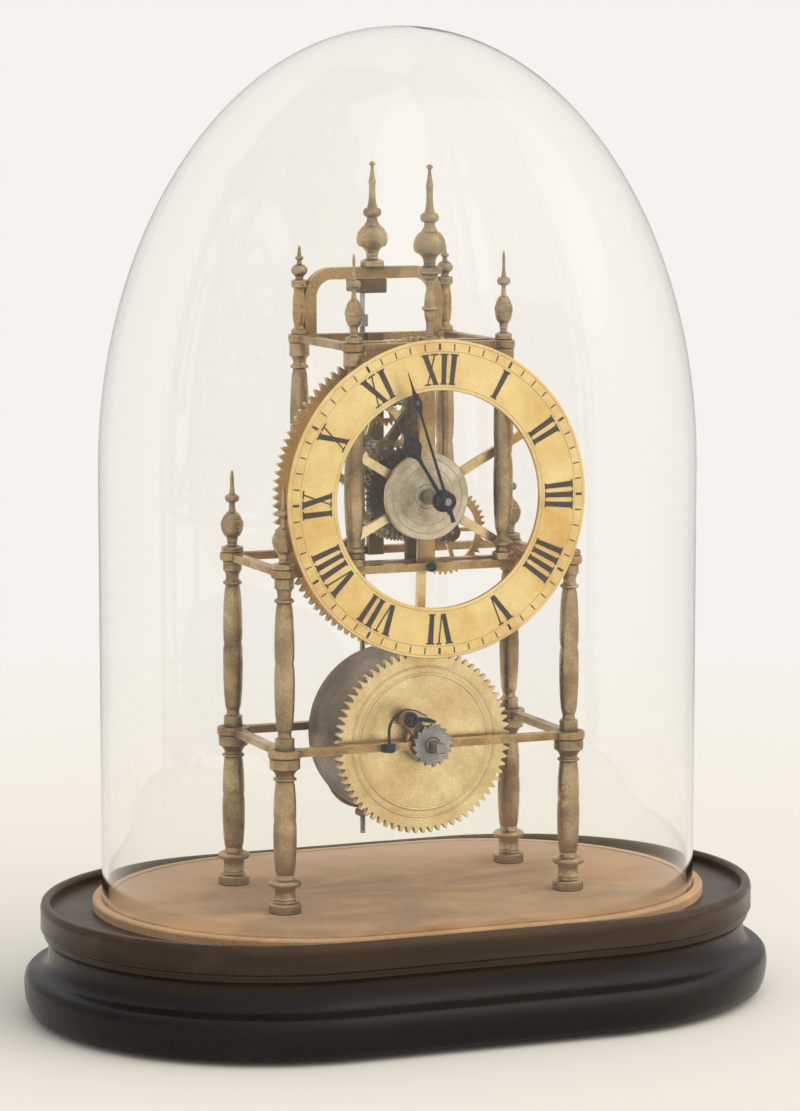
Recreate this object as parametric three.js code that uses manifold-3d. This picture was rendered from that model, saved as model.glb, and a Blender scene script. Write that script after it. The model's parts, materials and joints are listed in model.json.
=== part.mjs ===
import * as THREE from 'three';
import { mergeVertices } from 'three/addons/utils/BufferGeometryUtils.js';
import Module from 'manifold-3d';

// Skeleton clock under a glass dome: millimetres, +X to the clock's right, +Y to its back, +Z up.
// The origin is on the table, under the middle of the base.

// Base
const plinthHeight = 40;
const plinthStep = 7;
const rimHeight = 4;
const rimWidth = 4.5;
const recessAtEnds = 17.5;
const recessAtSides = 1.5;
const footHeight = 3;
const footRadius = 13;
const footInset = 30;
const platformMargin = 4;
const platformHeight = 4;
const platformRound = 1;
const grooveDepth = 2;

// Glass dome
const domeWidth = 252;
const domeDepth = 172;
const domeWall = 2.5;
const domeHeadroom = 55;
const domeShoulder = 180;

// Pillar frame, in three tiers
const pillarSpacingX = 125;
const pillarSpacingY = 62;
const upperSpacingX = 65;
const tierOneHeight = 112;
const tierTwoDrop = 28.3;
const tierThreeRise = 61.2;
const barThickness = 3.5;
const barWidth = 4;
const footFlangeRadius = 6.5;
const waistRadius = 3.9;
const spigotRadius = 2.4;
const upperFlangeRadius = 4.4;
const upperSpigotRadius = 1.8;
const eyeWall = 2.6;
const crossBarSetback = 14;

// Finials, spires and the arch over the back
const lowerFinialHeight = 35;
const lowerFinialRadius = 4.6;
const upperFinialHeight = 37;
const upperFinialRadius = 3.4;
const spireHeight = 44.5;
const spireRadius = 6.5;
const archRise = 29;
const archBarHeight = 5;
const archRound = 12;
const archInset = 2;
const archPostHeight = 21.25;
const stemRadius = 3.6;

// Movement plates
const plateThickness = 2.5;
const plateStripWidth = 7;
const bossRadius = 5;
const frontBossRadius = 18;
const pivotBossRadius = 3.6;

// Dial
const dialCentreHeight = 213.3;
const dialRadius = 64.5;
const dialBandWidth = 20.5;
const dialThickness = 2;
const dialStandoff = 7;
const dialFootRadius = 1.8;

// Going barrel
const barrelTeeth = 70;
const drumStep = 0.6;
const drumWall = 2;
const drumDepth = 38;
const greatWheelThickness = 3;
const wheelPlaneSetback = 3.5;
const barrelArborRadius = 4;
const barrelHubRadius = 8;
const barrelPivotRadius = 3;
const windingSquare = 4;
const windingSquareLength = 9;
const springTurns = 4;
const springThickness = 0.8;
const springWidth = 30;
const ratchetTeeth = 16;
const ratchetRadius = 9;
const ratchetDepth = 1.6;
const ratchetThickness = 2;
const clickThickness = 2;
const clickReach = 9;
const clickRise = 10.5;
const clickLobeRadius = 3.6;
const clickEyeRadius = 2.6;
const clickPinRadius = 1.1;
const clickArmWidth = 1.8;
const clickSpringThickness = 0.6;
const clickSpringFoot = 2.4;

// Slow wheel that carries the hour hand
const hourWheelTeeth = 120;
const hourWheelThickness = 2.5;
const hourRimWidth = 6.5;
const hourWheelHubRadius = 12;
const hourSpokeWidth = 3.6;
const hourWheelArms = 6;
const pipeRadius = 2.8;
const pipeCollarRadius = 8;
const pipeCollarThickness = 2;
const pipeGearThickness = 2;
const centreArborRadius = 1.5;

// Step-up wheels between the hour pipe and the centre arbor
const motionModule = 0.8;
const pipeGearTeeth = 48;
const setPinionTeeth = 12;
const setWheelTeeth = 45;
const centrePinionTeeth = 15;
const setArborAngle = -45;

// Going train
const trainModule = 0.5;
const centreWheelTeeth = 84;
const thirdPinionLeaves = 7;
const thirdWheelTeeth = 77;
const escapePinionLeaves = 7;
const thirdArborOffset = 12.5;
const trainWheelThickness = 1.5;
const pinionLength = 3;
const arborRadius = 1.2;
const pivotRadius = 0.8;
const wheelRimWidth = 2.4;
const wheelHubRadius = 3.4;
const wheelSpokeWidth = 1.6;
const wheelArms = 5;
const escapeTeeth = 30;
const escapeRadius = 11;
const escapeToothDepth = 1.7;
const palletDistance = 15.5;
const nibClearance = 1.15;
const nibWidth = 1.4;
const anchorThickness = 2;
const anchorHubRadius = 3;

// Places of the wheels, measured back from the front pillars' centre plane
const pipeGearPlace = 20.5;
const setWheelPlace = 24.5;
const centreWheelPlace = 29.5;
const thirdWheelPlace = 37.5;
const escapeWheelPlace = 45.5;

// Hands
const hourHandLength = 38;
const minuteHandLength = 55;
const handThickness = 1;
const handHubRadius = 4.6;
const hourHandWidth = 2.2;
const minuteHandWidth = 1.6;
const hourHandAngle = 121.5;
const minuteHandAngle = 108;
const handGap = 3.2;

// Pendulum behind the back plate
const pendulumSetback = 11;
const suspensionDrop = 11;
const suspensionSpringLength = 14;
const suspensionSpringGrip = 4.5;
const suspensionSpringThickness = 0.3;
const suspensionSpringWidth = 5;
const rodRadius = 1.2;
const rodBottom = 62;
const bobRadius = 17;
const bobThickness = 9;
const bobHeight = 90;
const nutRadius = 3.4;
const nutThickness = 3;
const cockWidth = 12;
const cockDepth = 17;
const crutchDrop = 37;
const crutchWidth = 2;
const crutchThickness = 1.5;
const forkDepth = 3;

// Clearances, the overrun that cuts share, and the distance under which corners count as one
const fitGap = 0.3;
const endShake = 0.3;
const overrun = 1;
const weldTolerance = 0.00001;

// Smoothness of the round shapes
const turnedSides = 10;
const smallSides = 8;
const endSegments = 10;
const domeSteps = 8;
const ringSides = 40;
const boreSides = 10;
const bobSides = 16;
const plateBossSides = 20;
const largeArcSteps = 4;
const smallArcSteps = 3;

// Tooth shapes: heights in modules, half widths in shares of the tooth pitch
const wheelToothShares = { above: 0.7, below: 1.6, tip: 0.08, root: 0.5 };
const fineToothShares = { above: 0.7, below: 1.6, tip: 0, root: 0.5 };
const leafShares = { above: 0.6, below: 1.2, tip: 0.08, root: 0.2 };

// Worked-out places
const floorHeight = footHeight + plinthHeight;
const platformTop = floorHeight + platformHeight;
const platformWidth = domeWidth + 2 * platformMargin;
const platformDepth = domeDepth + 2 * platformMargin;
const plinthWidth = platformWidth + 2 * (recessAtEnds + rimWidth + plinthStep);
const plinthDepth = platformDepth + 2 * (recessAtSides + rimWidth + plinthStep);
const domeFoot = platformTop - grooveDepth;
const tierTwoHeight = dialCentreHeight - tierTwoDrop;
const tierThreeHeight = dialCentreHeight + tierThreeRise;
const archTop = tierThreeHeight + archRise;
const suspensionHeight = archTop - suspensionDrop;
const spireTipHeight = archTop + spireHeight;
const domeHeight = spireTipHeight + domeHeadroom - domeFoot;
const frontY = -pillarSpacingY / 2;
const backY = pillarSpacingY / 2;
const pillarX = pillarSpacingX / 2;
const upperX = upperSpacingX / 2;
const frontBarFace = frontY - barWidth / 2;
const frontBarBack = frontY + barWidth / 2;
const backBarFront = backY - barWidth / 2;
const backBarFace = backY + barWidth / 2;
const crossBarY = frontY + crossBarSetback;
const wheelPlaneY = frontBarBack + wheelPlaneSetback;
const middlePlateY = crossBarY + barWidth / 2;
const backPlateY = backBarFront - plateThickness;
const greatModule = (2 * (dialCentreHeight - tierOneHeight)) / (barrelTeeth + hourWheelTeeth);
const drumRadius = (barrelTeeth / 2 - wheelToothShares.below) * greatModule - drumStep;
const setDistance = (motionModule * (pipeGearTeeth + setPinionTeeth)) / 2;
const setModule = (2 * setDistance) / (setWheelTeeth + centrePinionTeeth);
const setX = setDistance * Math.cos(THREE.MathUtils.degToRad(setArborAngle));
const setZ = dialCentreHeight + setDistance * Math.sin(THREE.MathUtils.degToRad(setArborAngle));
const thirdDistance = (trainModule * (centreWheelTeeth + thirdPinionLeaves)) / 2;
const escapeDistance = (trainModule * (thirdWheelTeeth + escapePinionLeaves)) / 2;
const thirdZ = dialCentreHeight + Math.sqrt(thirdDistance ** 2 - thirdArborOffset ** 2);
const escapeZ = thirdZ + Math.sqrt(escapeDistance ** 2 - thirdArborOffset ** 2);
const palletZ = escapeZ + palletDistance;
const pendulumY = backY + pendulumSetback;

const arbors = {
  barrel: new THREE.Vector2(0, tierOneHeight),
  centre: new THREE.Vector2(0, dialCentreHeight),
  set: new THREE.Vector2(setX, setZ),
  third: new THREE.Vector2(-thirdArborOffset, thirdZ),
  escape: new THREE.Vector2(0, escapeZ),
  pallet: new THREE.Vector2(0, palletZ),
};

// Turned outlines: [radius share, height share], from the foot up
const bunFootShares = [[0.62, 0], [0.9, 0.14], [1, 0.42], [0.94, 0.72], [0.7, 0.9], [0.7, 1]];
const plinthShares = [
  [0.4, 0], [0.06, 0.1], [0, 0.24], [0.2, 0.38], [0.9, 0.42], [1.35, 0.5],
  [1.45, 0.62], [1.2, 0.74], [1.2, 0.8], [1, 0.84], [1, 1],
];
const lowerPillarShares = [
  [1, 0], [1, 0.06], [0.72, 0.11], [0.66, 0.17], [0.92, 0.2], [0.54, 0.25], [0.66, 0.6],
  [0.54, 0.86], [0.95, 0.94], [0.95, 1],
];
const middlePillarShares = [
  [1, 0], [1, 0.07], [0.74, 0.11], [0.92, 0.5], [0.74, 0.86], [1, 0.95], [1, 1],
];
const upperPillarShares = [
  [1, 0], [1, 0.03], [0.72, 0.06], [0.9, 0.09], [0.62, 0.13], [0.74, 0.5], [0.6, 0.88],
  [0.95, 0.94], [0.95, 1],
];
const finialShares = [
  [1, 0], [1, 0.06], [0.5, 0.12], [0.6, 0.2], [0.98, 0.3], [0.9, 0.4], [0.34, 0.5], [0.3, 0.6],
  [0.46, 0.66], [0.3, 0.74], [0.12, 0.97],
];
const spireShares = [
  [0.75, 0], [0.75, 0.05], [0.4, 0.1], [0.85, 0.2], [1, 0.28], [0.6, 0.38], [0.32, 0.46],
  [0.42, 0.52], [0.34, 0.6], [0.24, 0.8], [0.12, 0.98],
];
const stemShares = [
  [1, 0], [1, 0.06], [0.5, 0.12], [0.42, 0.3], [0.6, 0.5], [0.42, 0.72], [0.5, 0.9],
  [0.9, 0.95], [0.9, 1],
];

// Hands: [share of the length, half width in hand widths], from the tail out
const hourHandShares = [
  [-0.16, 0.5], [0.5, 0.4], [0.6, 1.5], [0.68, 1.8], [0.76, 1.1], [0.82, 0.35], [1, 0.08],
];
const minuteHandShares = [
  [-0.16, 0.5], [0.66, 0.35], [0.72, 1], [0.77, 1.2], [0.82, 0.8], [0.86, 0.3], [1, 0.08],
];

// Shares of the click's reach and rise that its spring runs through, and other small shares
const clickSpringShares = [[-2.1, 0.1], [-2.05, 0.9], [-1.5, 1.42], [-0.9, 1.42], [-0.3, 1.17]];
const escapeTipShares = [0.42, 0.52];
const rampShare = 0.94;
const noseShare = 0.5;
const webShare = 0.8;
const armShare = 0.6;
const bobShares = [
  [0.22, -0.5], [0.6, -0.42], [0.92, -0.2], [1, 0], [0.92, 0.2], [0.6, 0.42], [0.22, 0.5],
];
const nutShares = [[0.7, 0], [1, 0.2], [1, 0.8], [0.7, 1]];

const wasm = await Module();
wasm.setup();

const clock = new THREE.Group();

const finishes = {
  ebonised: { color: 0x14110f, roughness: 0.25, metalness: 0 },
  velvet: { color: 0xa98863, roughness: 0.9, metalness: 0 },
  glass: { color: 0xf0f3f0, roughness: 0.03, metalness: 0, transparent: true, opacity: 0.2 },
  brass: { color: 0xc9a35c, roughness: 0.28, metalness: 1 },
  gilt: { color: 0xd9b26a, roughness: 0.35, metalness: 1 },
  steel: { color: 0x9a9c98, roughness: 0.3, metalness: 1 },
  blued: { color: 0x23262f, roughness: 0.3, metalness: 1 },
};

function place(name, geometry, finish, x = 0, y = 0, z = 0) {
  const mesh = new THREE.Mesh(geometry, new THREE.MeshStandardMaterial(finishes[finish]));
  mesh.name = name;
  mesh.position.set(x, y, z);
  clock.add(mesh);
}

// Closed, outward-facing copy of a geometry with shared corners
function closed(geometry) {
  const bare = geometry.clone();
  bare.deleteAttribute('normal');
  bare.deleteAttribute('uv');
  const merged = mergeVertices(bare, weldTolerance);
  const corners = merged.getAttribute('position');
  const at = (i) => new THREE.Vector3().fromBufferAttribute(corners, i);
  const kept = [];
  let volume = 0;
  const index = merged.index.array;
  for (let i = 0; i < index.length; i += 3) {
    const [a, b, c] = [index[i], index[i + 1], index[i + 2]];
    if (a === b || b === c || c === a) continue;
    volume += at(a).dot(at(b).cross(at(c)));
    kept.push(a, b, c);
  }
  if (volume < 0) kept.reverse();
  merged.setIndex(kept);
  return merged;
}

function solid(geometry) {
  const shape = closed(geometry);
  return new wasm.Manifold(new wasm.Mesh({
    numProp: 3,
    vertProperties: new Float32Array(shape.getAttribute('position').array),
    triVerts: new Uint32Array(shape.index.array),
  }));
}

function geometryOf(manifold) {
  const mesh = manifold.getMesh();
  const geometry = new THREE.BufferGeometry();
  geometry.setAttribute('position', new THREE.BufferAttribute(mesh.vertProperties, 3));
  geometry.setIndex(new THREE.BufferAttribute(mesh.triVerts, 1));
  return geometry;
}

function joined(geometries, cuts = []) {
  let whole = solid(geometries[0]);
  for (const next of geometries.slice(1)) whole = whole.add(solid(next));
  for (const cut of cuts) whole = whole.subtract(solid(cut));
  return geometryOf(whole);
}

// Turned about Z, from [radius, height] points that may leave the axis out at both ends
function turned(points, sides = turnedSides) {
  const outline = [new THREE.Vector2(0, points[0][1])];
  for (const [radius, height] of points) outline.push(new THREE.Vector2(radius, height));
  outline.push(new THREE.Vector2(0, points.at(-1)[1]));
  return closed(new THREE.LatheGeometry(outline, sides).rotateX(Math.PI / 2));
}

// Turned about Y, for arbors and all that sits on them
function turnedOnArbor(points, sides = turnedSides) {
  return turned(points, sides).rotateX(-Math.PI / 2);
}

function scaled(shares, radius, height, start = 0) {
  return shares.map(([r, h]) => [r * radius, start + h * height]);
}

function circle(radius, sides, x = 0, z = 0) {
  return Array.from({ length: sides }, (_, i) => {
    const angle = (2 * Math.PI * i) / sides;
    return new THREE.Vector2(x + radius * Math.cos(angle), z + radius * Math.sin(angle));
  });
}

// Flat piece that faces the front: outline in X and Z, its front face at y, its back at y + thickness
function facing(outline, holes, thickness, y = 0) {
  const shape = new THREE.Shape(outline);
  shape.holes = holes.map((hole) => new THREE.Path(hole));
  const geometry = new THREE.ExtrudeGeometry(shape, { depth: thickness, bevelEnabled: false });
  return closed(geometry.rotateX(Math.PI / 2).translate(0, y + thickness, 0));
}

function rod(radius, front, back, x = 0, z = 0, sides = boreSides) {
  return turnedOnArbor([[radius, front], [radius, back]], sides).translate(x, 0, z);
}

function box(x0, x1, y0, y1, z0, z1) {
  const geometry = new THREE.BoxGeometry(x1 - x0, y1 - y0, z1 - z0);
  return geometry.translate((x0 + x1) / 2, (y0 + y1) / 2, (z0 + z1) / 2);
}

// Oblong ring with round ends at one height
function oblong(width, depth, z, segments, share = 1) {
  const radius = (share * depth) / 2;
  const straight = (share * (width - depth)) / 2;
  const ring = [];
  for (const side of [1, -1]) {
    for (let i = 0; i <= segments; i++) {
      const angle = Math.PI * (i / segments - 0.5) + (side < 0 ? Math.PI : 0);
      ring.push([side * straight + radius * Math.cos(angle), radius * Math.sin(angle), z]);
    }
  }
  return ring;
}

// Skin over a stack of rings, closed at both ends by a fan to the axis
function lofted(rings, bottom, top) {
  const count = rings[0].length;
  const positions = [...rings.flat(2), 0, 0, bottom, 0, 0, top];
  const low = rings.length * count;
  const index = [];
  for (let r = 0; r < rings.length; r++) {
    for (let i = 0; i < count; i++) {
      const a = r * count + i;
      const b = r * count + ((i + 1) % count);
      if (r === 0) index.push(low, b, a);
      if (r === rings.length - 1) index.push(low + 1, a, b);
      else index.push(a, b, b + count, a, b + count, a + count);
    }
  }
  const geometry = new THREE.BufferGeometry();
  geometry.setAttribute('position', new THREE.Float32BufferAttribute(positions, 3));
  geometry.setIndex(index);
  return closed(geometry);
}

// Gears
function polar(radius, angle) {
  return new THREE.Vector2(radius * Math.cos(angle), radius * Math.sin(angle));
}

function gearOutline(teeth, module, shares, phase) {
  const pitchRadius = (teeth * module) / 2;
  const tip = pitchRadius + shares.above * module;
  const root = pitchRadius - shares.below * module;
  const pitch = (2 * Math.PI) / teeth;
  const outline = [];
  for (let i = 0; i < teeth; i++) {
    const middle = phase + i * pitch;
    outline.push(polar(root, middle - shares.root * pitch));
    outline.push(polar(tip, middle - shares.tip * pitch));
    if (shares.tip > 0) outline.push(polar(tip, middle + shares.tip * pitch));
    if (shares.root < 1 / 2) outline.push(polar(root, middle + shares.root * pitch));
  }
  return outline;
}

function rootRadius(teeth, module, shares) {
  return (teeth * module) / 2 - shares.below * module;
}

// Phase that puts a gear's tooth gap on the neighbour's tooth
function meshed(teeth, from, to, neighbourTeeth, neighbourPhase) {
  const toward = Math.atan2(to.y - from.y, to.x - from.x);
  const neighbourShare = ((toward - neighbourPhase) * neighbourTeeth) / (2 * Math.PI);
  return toward + Math.PI - ((1 / 2 - neighbourShare) * 2 * Math.PI) / teeth;
}

// Points along an arc about the origin, both ends included
function arc(radius, from, to, steps) {
  return Array.from({ length: steps + 1 }, (_, i) => polar(radius, from + ((to - from) * i) / steps));
}

// Windows between the arms of a crossed-out wheel
function windows(arms, inner, outer, spoke, steps) {
  const outerInset = Math.asin(spoke / 2 / outer);
  const innerInset = Math.asin(spoke / 2 / inner);
  return Array.from({ length: arms }, (_, k) => {
    const start = (2 * Math.PI * k) / arms;
    const end = (2 * Math.PI * (k + 1)) / arms;
    return [
      ...arc(outer, start + outerInset, end - outerInset, steps),
      ...arc(inner, end - innerInset, start + innerInset, Math.floor(steps / 2)),
    ];
  });
}

// Base and feet
function plinth() {
  const rings = plinthShares.map(([inset, height]) => {
    const back = 2 * inset * plinthStep;
    return oblong(plinthWidth - back, plinthDepth - back, footHeight + height * plinthHeight, endSegments);
  });
  const rimInset = 2 * plinthStep;
  const rimTop = floorHeight + rimHeight;
  const beads = [[rimWidth / 4, rimTop], [(rimWidth * 3) / 4, rimTop], [rimWidth, floorHeight]];
  for (const [inset, height] of beads) {
    const back = rimInset + 2 * inset;
    rings.push(oblong(plinthWidth - back, plinthDepth - back, height, endSegments));
  }
  return lofted(rings, footHeight, floorHeight);
}

// The dome's foot stands in a shallow groove round the platform
function platform() {
  const grooveOut = platformMargin - fitGap;
  const grooveIn = platformMargin + domeWall + fitGap;
  const grooveFloor = platformHeight - grooveDepth;
  const steps = [
    [0, 0], [0, platformHeight - platformRound], [platformRound, platformHeight],
    [grooveOut, platformHeight], [grooveOut, grooveFloor],
    [grooveIn, grooveFloor], [grooveIn, platformHeight],
  ];
  const rings = steps.map(([inset, height]) => {
    return oblong(platformWidth - 2 * inset, platformDepth - 2 * inset, floorHeight + height, endSegments);
  });
  return lofted(rings, floorHeight, platformTop);
}

const corners = [
  ['front_left', -1, -1],
  ['front_right', 1, -1],
  ['back_left', -1, 1],
  ['back_right', 1, 1],
];

place('plinth', plinth(), 'ebonised');
place('platform', platform(), 'velvet');
for (const [corner, sideX, sideY] of corners) {
  const x = sideX * (plinthWidth / 2 - plinthDepth / 4 - footInset);
  const y = sideY * (plinthDepth / 2 - footInset);
  place(`foot_${corner}`, turned(scaled(bunFootShares, footRadius, footHeight)), 'ebonised', x, y);
}

// Dome: straight wall, then an elliptical crown
function domeBody(inset, foot) {
  const width = domeWidth - 2 * inset;
  const depth = domeDepth - 2 * inset;
  const top = domeHeight - inset;
  const crown = domeShoulder - inset;
  const rings = [oblong(width, depth, foot, endSegments)];
  for (let i = 0; i < domeSteps; i++) {
    const angle = ((Math.PI / 2) * i) / domeSteps;
    rings.push(oblong(width, depth, top - crown + crown * Math.sin(angle), endSegments, Math.cos(angle)));
  }
  return lofted(rings, foot, top);
}

place('glass_dome', joined([domeBody(0, 0)], [domeBody(domeWall, -overrun)]), 'glass', 0, 0, domeFoot);

// Pillars: the lower ones carry the first and second tiers, the upper ones the third
const tierOneBottom = tierOneHeight - barThickness / 2;
const tierTwoBottom = tierTwoHeight - barThickness / 2;
const tierThreeBottom = tierThreeHeight - barThickness / 2;
const tierThreeTop = tierThreeBottom + barThickness;
const archSeat = tierThreeTop + archPostHeight;
const upperFinialTip = tierThreeTop + upperFinialHeight;

function lowerPillar() {
  const middleFoot = tierOneBottom + barThickness + fitGap;
  return turned([
    ...scaled(lowerPillarShares, footFlangeRadius, tierOneBottom - platformTop, platformTop),
    [waistRadius, tierOneBottom],
    ...scaled(middlePillarShares, waistRadius, tierTwoBottom - middleFoot, middleFoot),
    [spigotRadius, tierTwoBottom],
    [spigotRadius, tierTwoBottom + barThickness - endShake],
  ]);
}

function upperPillar() {
  const foot = tierTwoBottom + barThickness;
  return turned([
    ...scaled(upperPillarShares, upperFlangeRadius, tierThreeBottom - foot, foot),
    [upperSpigotRadius, tierThreeBottom],
    [upperSpigotRadius, tierThreeBottom + barThickness - endShake],
  ], smallSides);
}

for (const [corner, sideX, sideY] of corners) {
  const lower = [sideX * pillarX, sideY * backY];
  const upper = [sideX * upperX, sideY * backY];
  place(`lower_pillar_${corner}`, lowerPillar(), 'brass', ...lower);
  place(`upper_pillar_${corner}`, upperPillar(), 'brass', ...upper);
  const lowerTip = turned(scaled(finialShares, lowerFinialRadius, lowerFinialHeight), smallSides);
  place(`lower_finial_${corner}`, lowerTip, 'brass', ...lower, tierTwoBottom + barThickness);
  const upperSeat = sideY > 0 ? archSeat : tierThreeTop;
  const upperTip = turned(scaled(finialShares, upperFinialRadius, upperFinialTip - upperSeat), smallSides);
  place(`upper_finial_${corner}`, upperTip, 'brass', ...upper, upperSeat);
}

// Tier frames: four bars with an eye at each corner, drawn about their own mid height
function tierFrame(halfX, eyeRadius, crossBar, boreRadius) {
  const half = barThickness / 2;
  const outerX = halfX + barWidth / 2;
  const parts = [
    box(-outerX, outerX, frontBarFace, frontBarBack, -half, half),
    box(-outerX, outerX, backBarFront, backBarFace, -half, half),
    box(-outerX, -halfX + barWidth / 2, frontBarFace, backBarFace, -half, half),
    box(halfX - barWidth / 2, outerX, frontBarFace, backBarFace, -half, half),
  ];
  const cuts = [];
  for (const [, sideX, sideY] of corners) {
    const eye = [[eyeRadius + eyeWall, -half], [eyeRadius + eyeWall, half]];
    const hole = [[eyeRadius, -half - overrun], [eyeRadius, half + overrun]];
    parts.push(turned(eye, smallSides).translate(sideX * halfX, sideY * backY, 0));
    cuts.push(turned(hole, smallSides).translate(sideX * halfX, sideY * backY, 0));
  }
  if (crossBar) {
    parts.push(box(-halfX, halfX, crossBarY - barWidth / 2, crossBarY + barWidth / 2, -half, half));
  }
  if (boreRadius > 0) {
    for (const [front, back] of [[frontBarFace, frontBarBack], [backBarFront, backBarFace]]) {
      parts.push(rod(boreRadius + eyeWall, front, back));
      cuts.push(rod(boreRadius, front - overrun, back + overrun));
    }
    parts.push(rod(clickLobeRadius, frontBarFace, frontBarBack, -clickReach, clickRise));
    parts.push(facing(lobeOutline(boreRadius), [], barWidth, frontBarFace));
    const pinBore = clickPinRadius + fitGap;
    cuts.push(rod(pinBore, frontBarFace - overrun, frontBarBack + overrun, -clickReach, clickRise));
  }
  return joined(parts, cuts);
}

// Web between the barrel bore's boss and the click's lobe
function lobeOutline(boreRadius) {
  const along = new THREE.Vector2(-clickReach, clickRise);
  const across = new THREE.Vector2(-along.y, along.x).normalize();
  const start = across.clone().multiplyScalar(boreRadius);
  const from = along.clone().normalize().multiplyScalar(boreRadius + eyeWall / 2);
  const end = across.clone().multiplyScalar(clickLobeRadius * webShare);
  return [
    from.clone().sub(start),
    from.clone().add(start),
    along.clone().add(end),
    along.clone().sub(end),
  ];
}

const barrelBore = barrelPivotRadius + fitGap;
const lowerFrame = tierFrame(pillarX, waistRadius + fitGap, false, barrelBore);
const middleFrame = tierFrame(pillarX, spigotRadius + fitGap, true, 0);
const upperFrame = tierFrame(upperX, upperSpigotRadius + fitGap, true, 0);
place('lower_frame', lowerFrame, 'brass', 0, 0, tierOneHeight);
place('middle_frame', middleFrame, 'brass', 0, 0, tierTwoHeight);
place('upper_frame', upperFrame, 'brass', 0, 0, tierThreeHeight);

// Arch over the back: a rounded bar between two posts that the back finials stand on
function archOutline(outset) {
  const top = archTop - outset;
  const half = upperX - archInset - outset;
  const round = archRound - outset;
  const shoulder = new THREE.Vector2(half - round, top - round);
  const side = arc(round, 0, Math.PI / 2, largeArcSteps).map((point) => point.add(shoulder));
  const right = [new THREE.Vector2(half, tierThreeTop), ...side];
  const left = right.map((point) => new THREE.Vector2(-point.x, point.y)).reverse();
  return [...right, ...left];
}

function backArch() {
  const band = [...archOutline(0), ...archOutline(archBarHeight).reverse()];
  const posts = [-1, 1].map((side) => {
    const post = [[upperFinialRadius, tierThreeTop], [upperFinialRadius, archSeat]];
    return turned(post, smallSides).translate(side * upperX, backY, 0);
  });
  return joined([facing(band, [], barWidth, backBarFront), ...posts]);
}

function frontSpire() {
  return turned([
    ...scaled(stemShares, stemRadius, archTop - tierThreeTop, tierThreeTop),
    ...scaled(spireShares, spireRadius, spireTipHeight - archTop, archTop),
  ], smallSides);
}

place('back_arch', backArch(), 'brass');
place('front_spire', frontSpire(), 'brass', 0, frontY);
const backSpire = scaled(spireShares, spireRadius, spireTipHeight - archTop, archTop);
place('back_spire', turned(backSpire, smallSides), 'brass', 0, backY);

// Plates: an upright strip from the second tier to the third, with a boss for each arbor
function strip(from, to, width) {
  const across = new THREE.Vector2(from.y - to.y, to.x - from.x).normalize().multiplyScalar(width / 2);
  const sides = [1, -1, -1, 1];
  return [from, from, to, to].map((end, i) => end.clone().addScaledVector(across, sides[i]));
}

function plate(frontFace, boss, centreBore, armsTo, bores) {
  const low = new THREE.Vector2(0, tierTwoBottom);
  const high = new THREE.Vector2(0, tierThreeTop);
  const parts = [
    facing(strip(low, high, plateStripWidth), [], plateThickness, frontFace),
    rod(boss, frontFace, frontFace + plateThickness, 0, arbors.centre.y, plateBossSides),
  ];
  const cutBack = frontFace + plateThickness + overrun;
  const cuts = [rod(centreBore, frontFace - overrun, cutBack, 0, arbors.centre.y)];
  for (const [arbor, anchor] of armsTo) {
    const arm = strip(arbors[arbor], anchor, plateStripWidth * armShare);
    parts.push(facing(arm, [], plateThickness, frontFace));
  }
  for (const [arbor, radius] of bores) {
    const { x, y: z } = arbors[arbor];
    parts.push(rod(pivotBossRadius, frontFace, frontFace + plateThickness, x, z));
    cuts.push(rod(radius + fitGap, frontFace - overrun, cutBack, x, z, smallSides));
  }
  return joined(parts, cuts);
}

const pipeBearing = pipeRadius + fitGap;
const sideArms = [
  ['set', arbors.centre],
  ['third', arbors.centre],
  ['third', arbors.escape],
];
const pivots = [['set', pivotRadius], ['third', pivotRadius], ['escape', pivotRadius]];
const middleBores = [...pivots, ['pallet', pivotRadius]];
const backBores = [...pivots, ['pallet', arborRadius]];
const backBearing = pivotRadius + fitGap;
place('front_plate', plate(frontBarBack, frontBossRadius, pipeBearing, [], []), 'brass');
place('middle_plate', plate(middlePlateY, bossRadius, pipeBearing, sideArms, middleBores), 'brass');
place('back_plate', plate(backPlateY, bossRadius, backBearing, sideArms, backBores), 'brass');

// Chapter ring on four feet
const dialBack = frontBarFace - dialStandoff;
const dialFront = dialBack - dialThickness;

function dialRing() {
  const outer = circle(dialRadius, ringSides);
  const inner = circle(dialRadius - dialBandWidth, ringSides);
  const feet = [];
  for (const tierHeight of [tierTwoHeight, tierThreeHeight]) {
    const drop = tierHeight - dialCentreHeight;
    const reach = dialRadius - (drop > 0 ? dialFootRadius + overrun : dialBandWidth / 2);
    const spread = Math.sqrt(Math.max(reach ** 2 - drop ** 2, dialFootRadius ** 2));
    for (const side of [-1, 1]) {
      const seat = dialFront + dialThickness / 2;
      feet.push(rod(dialFootRadius, seat, frontBarFace, side * spread, drop, smallSides));
    }
  }
  return joined([facing(outer, [inner], dialThickness, dialFront), ...feet]);
}

place('dial_ring', dialRing(), 'gilt', 0, 0, dialCentreHeight);

// Going barrel, drawn about its arbor
const drumFront = wheelPlaneY + greatWheelThickness;
const drumBack = drumFront + drumDepth;
const arborBore = barrelArborRadius + fitGap;

function spiral() {
  const steps = springTurns * turnedSides;
  const from = barrelHubRadius + fitGap;
  const to = drumRadius - drumWall - fitGap - springThickness;
  const side = (offset) => Array.from({ length: steps + 1 }, (_, i) => {
    return polar(from + ((to - from) * i) / steps + offset, (2 * Math.PI * i) / turnedSides);
  });
  return [...side(springThickness), ...side(0).reverse()];
}

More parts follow.
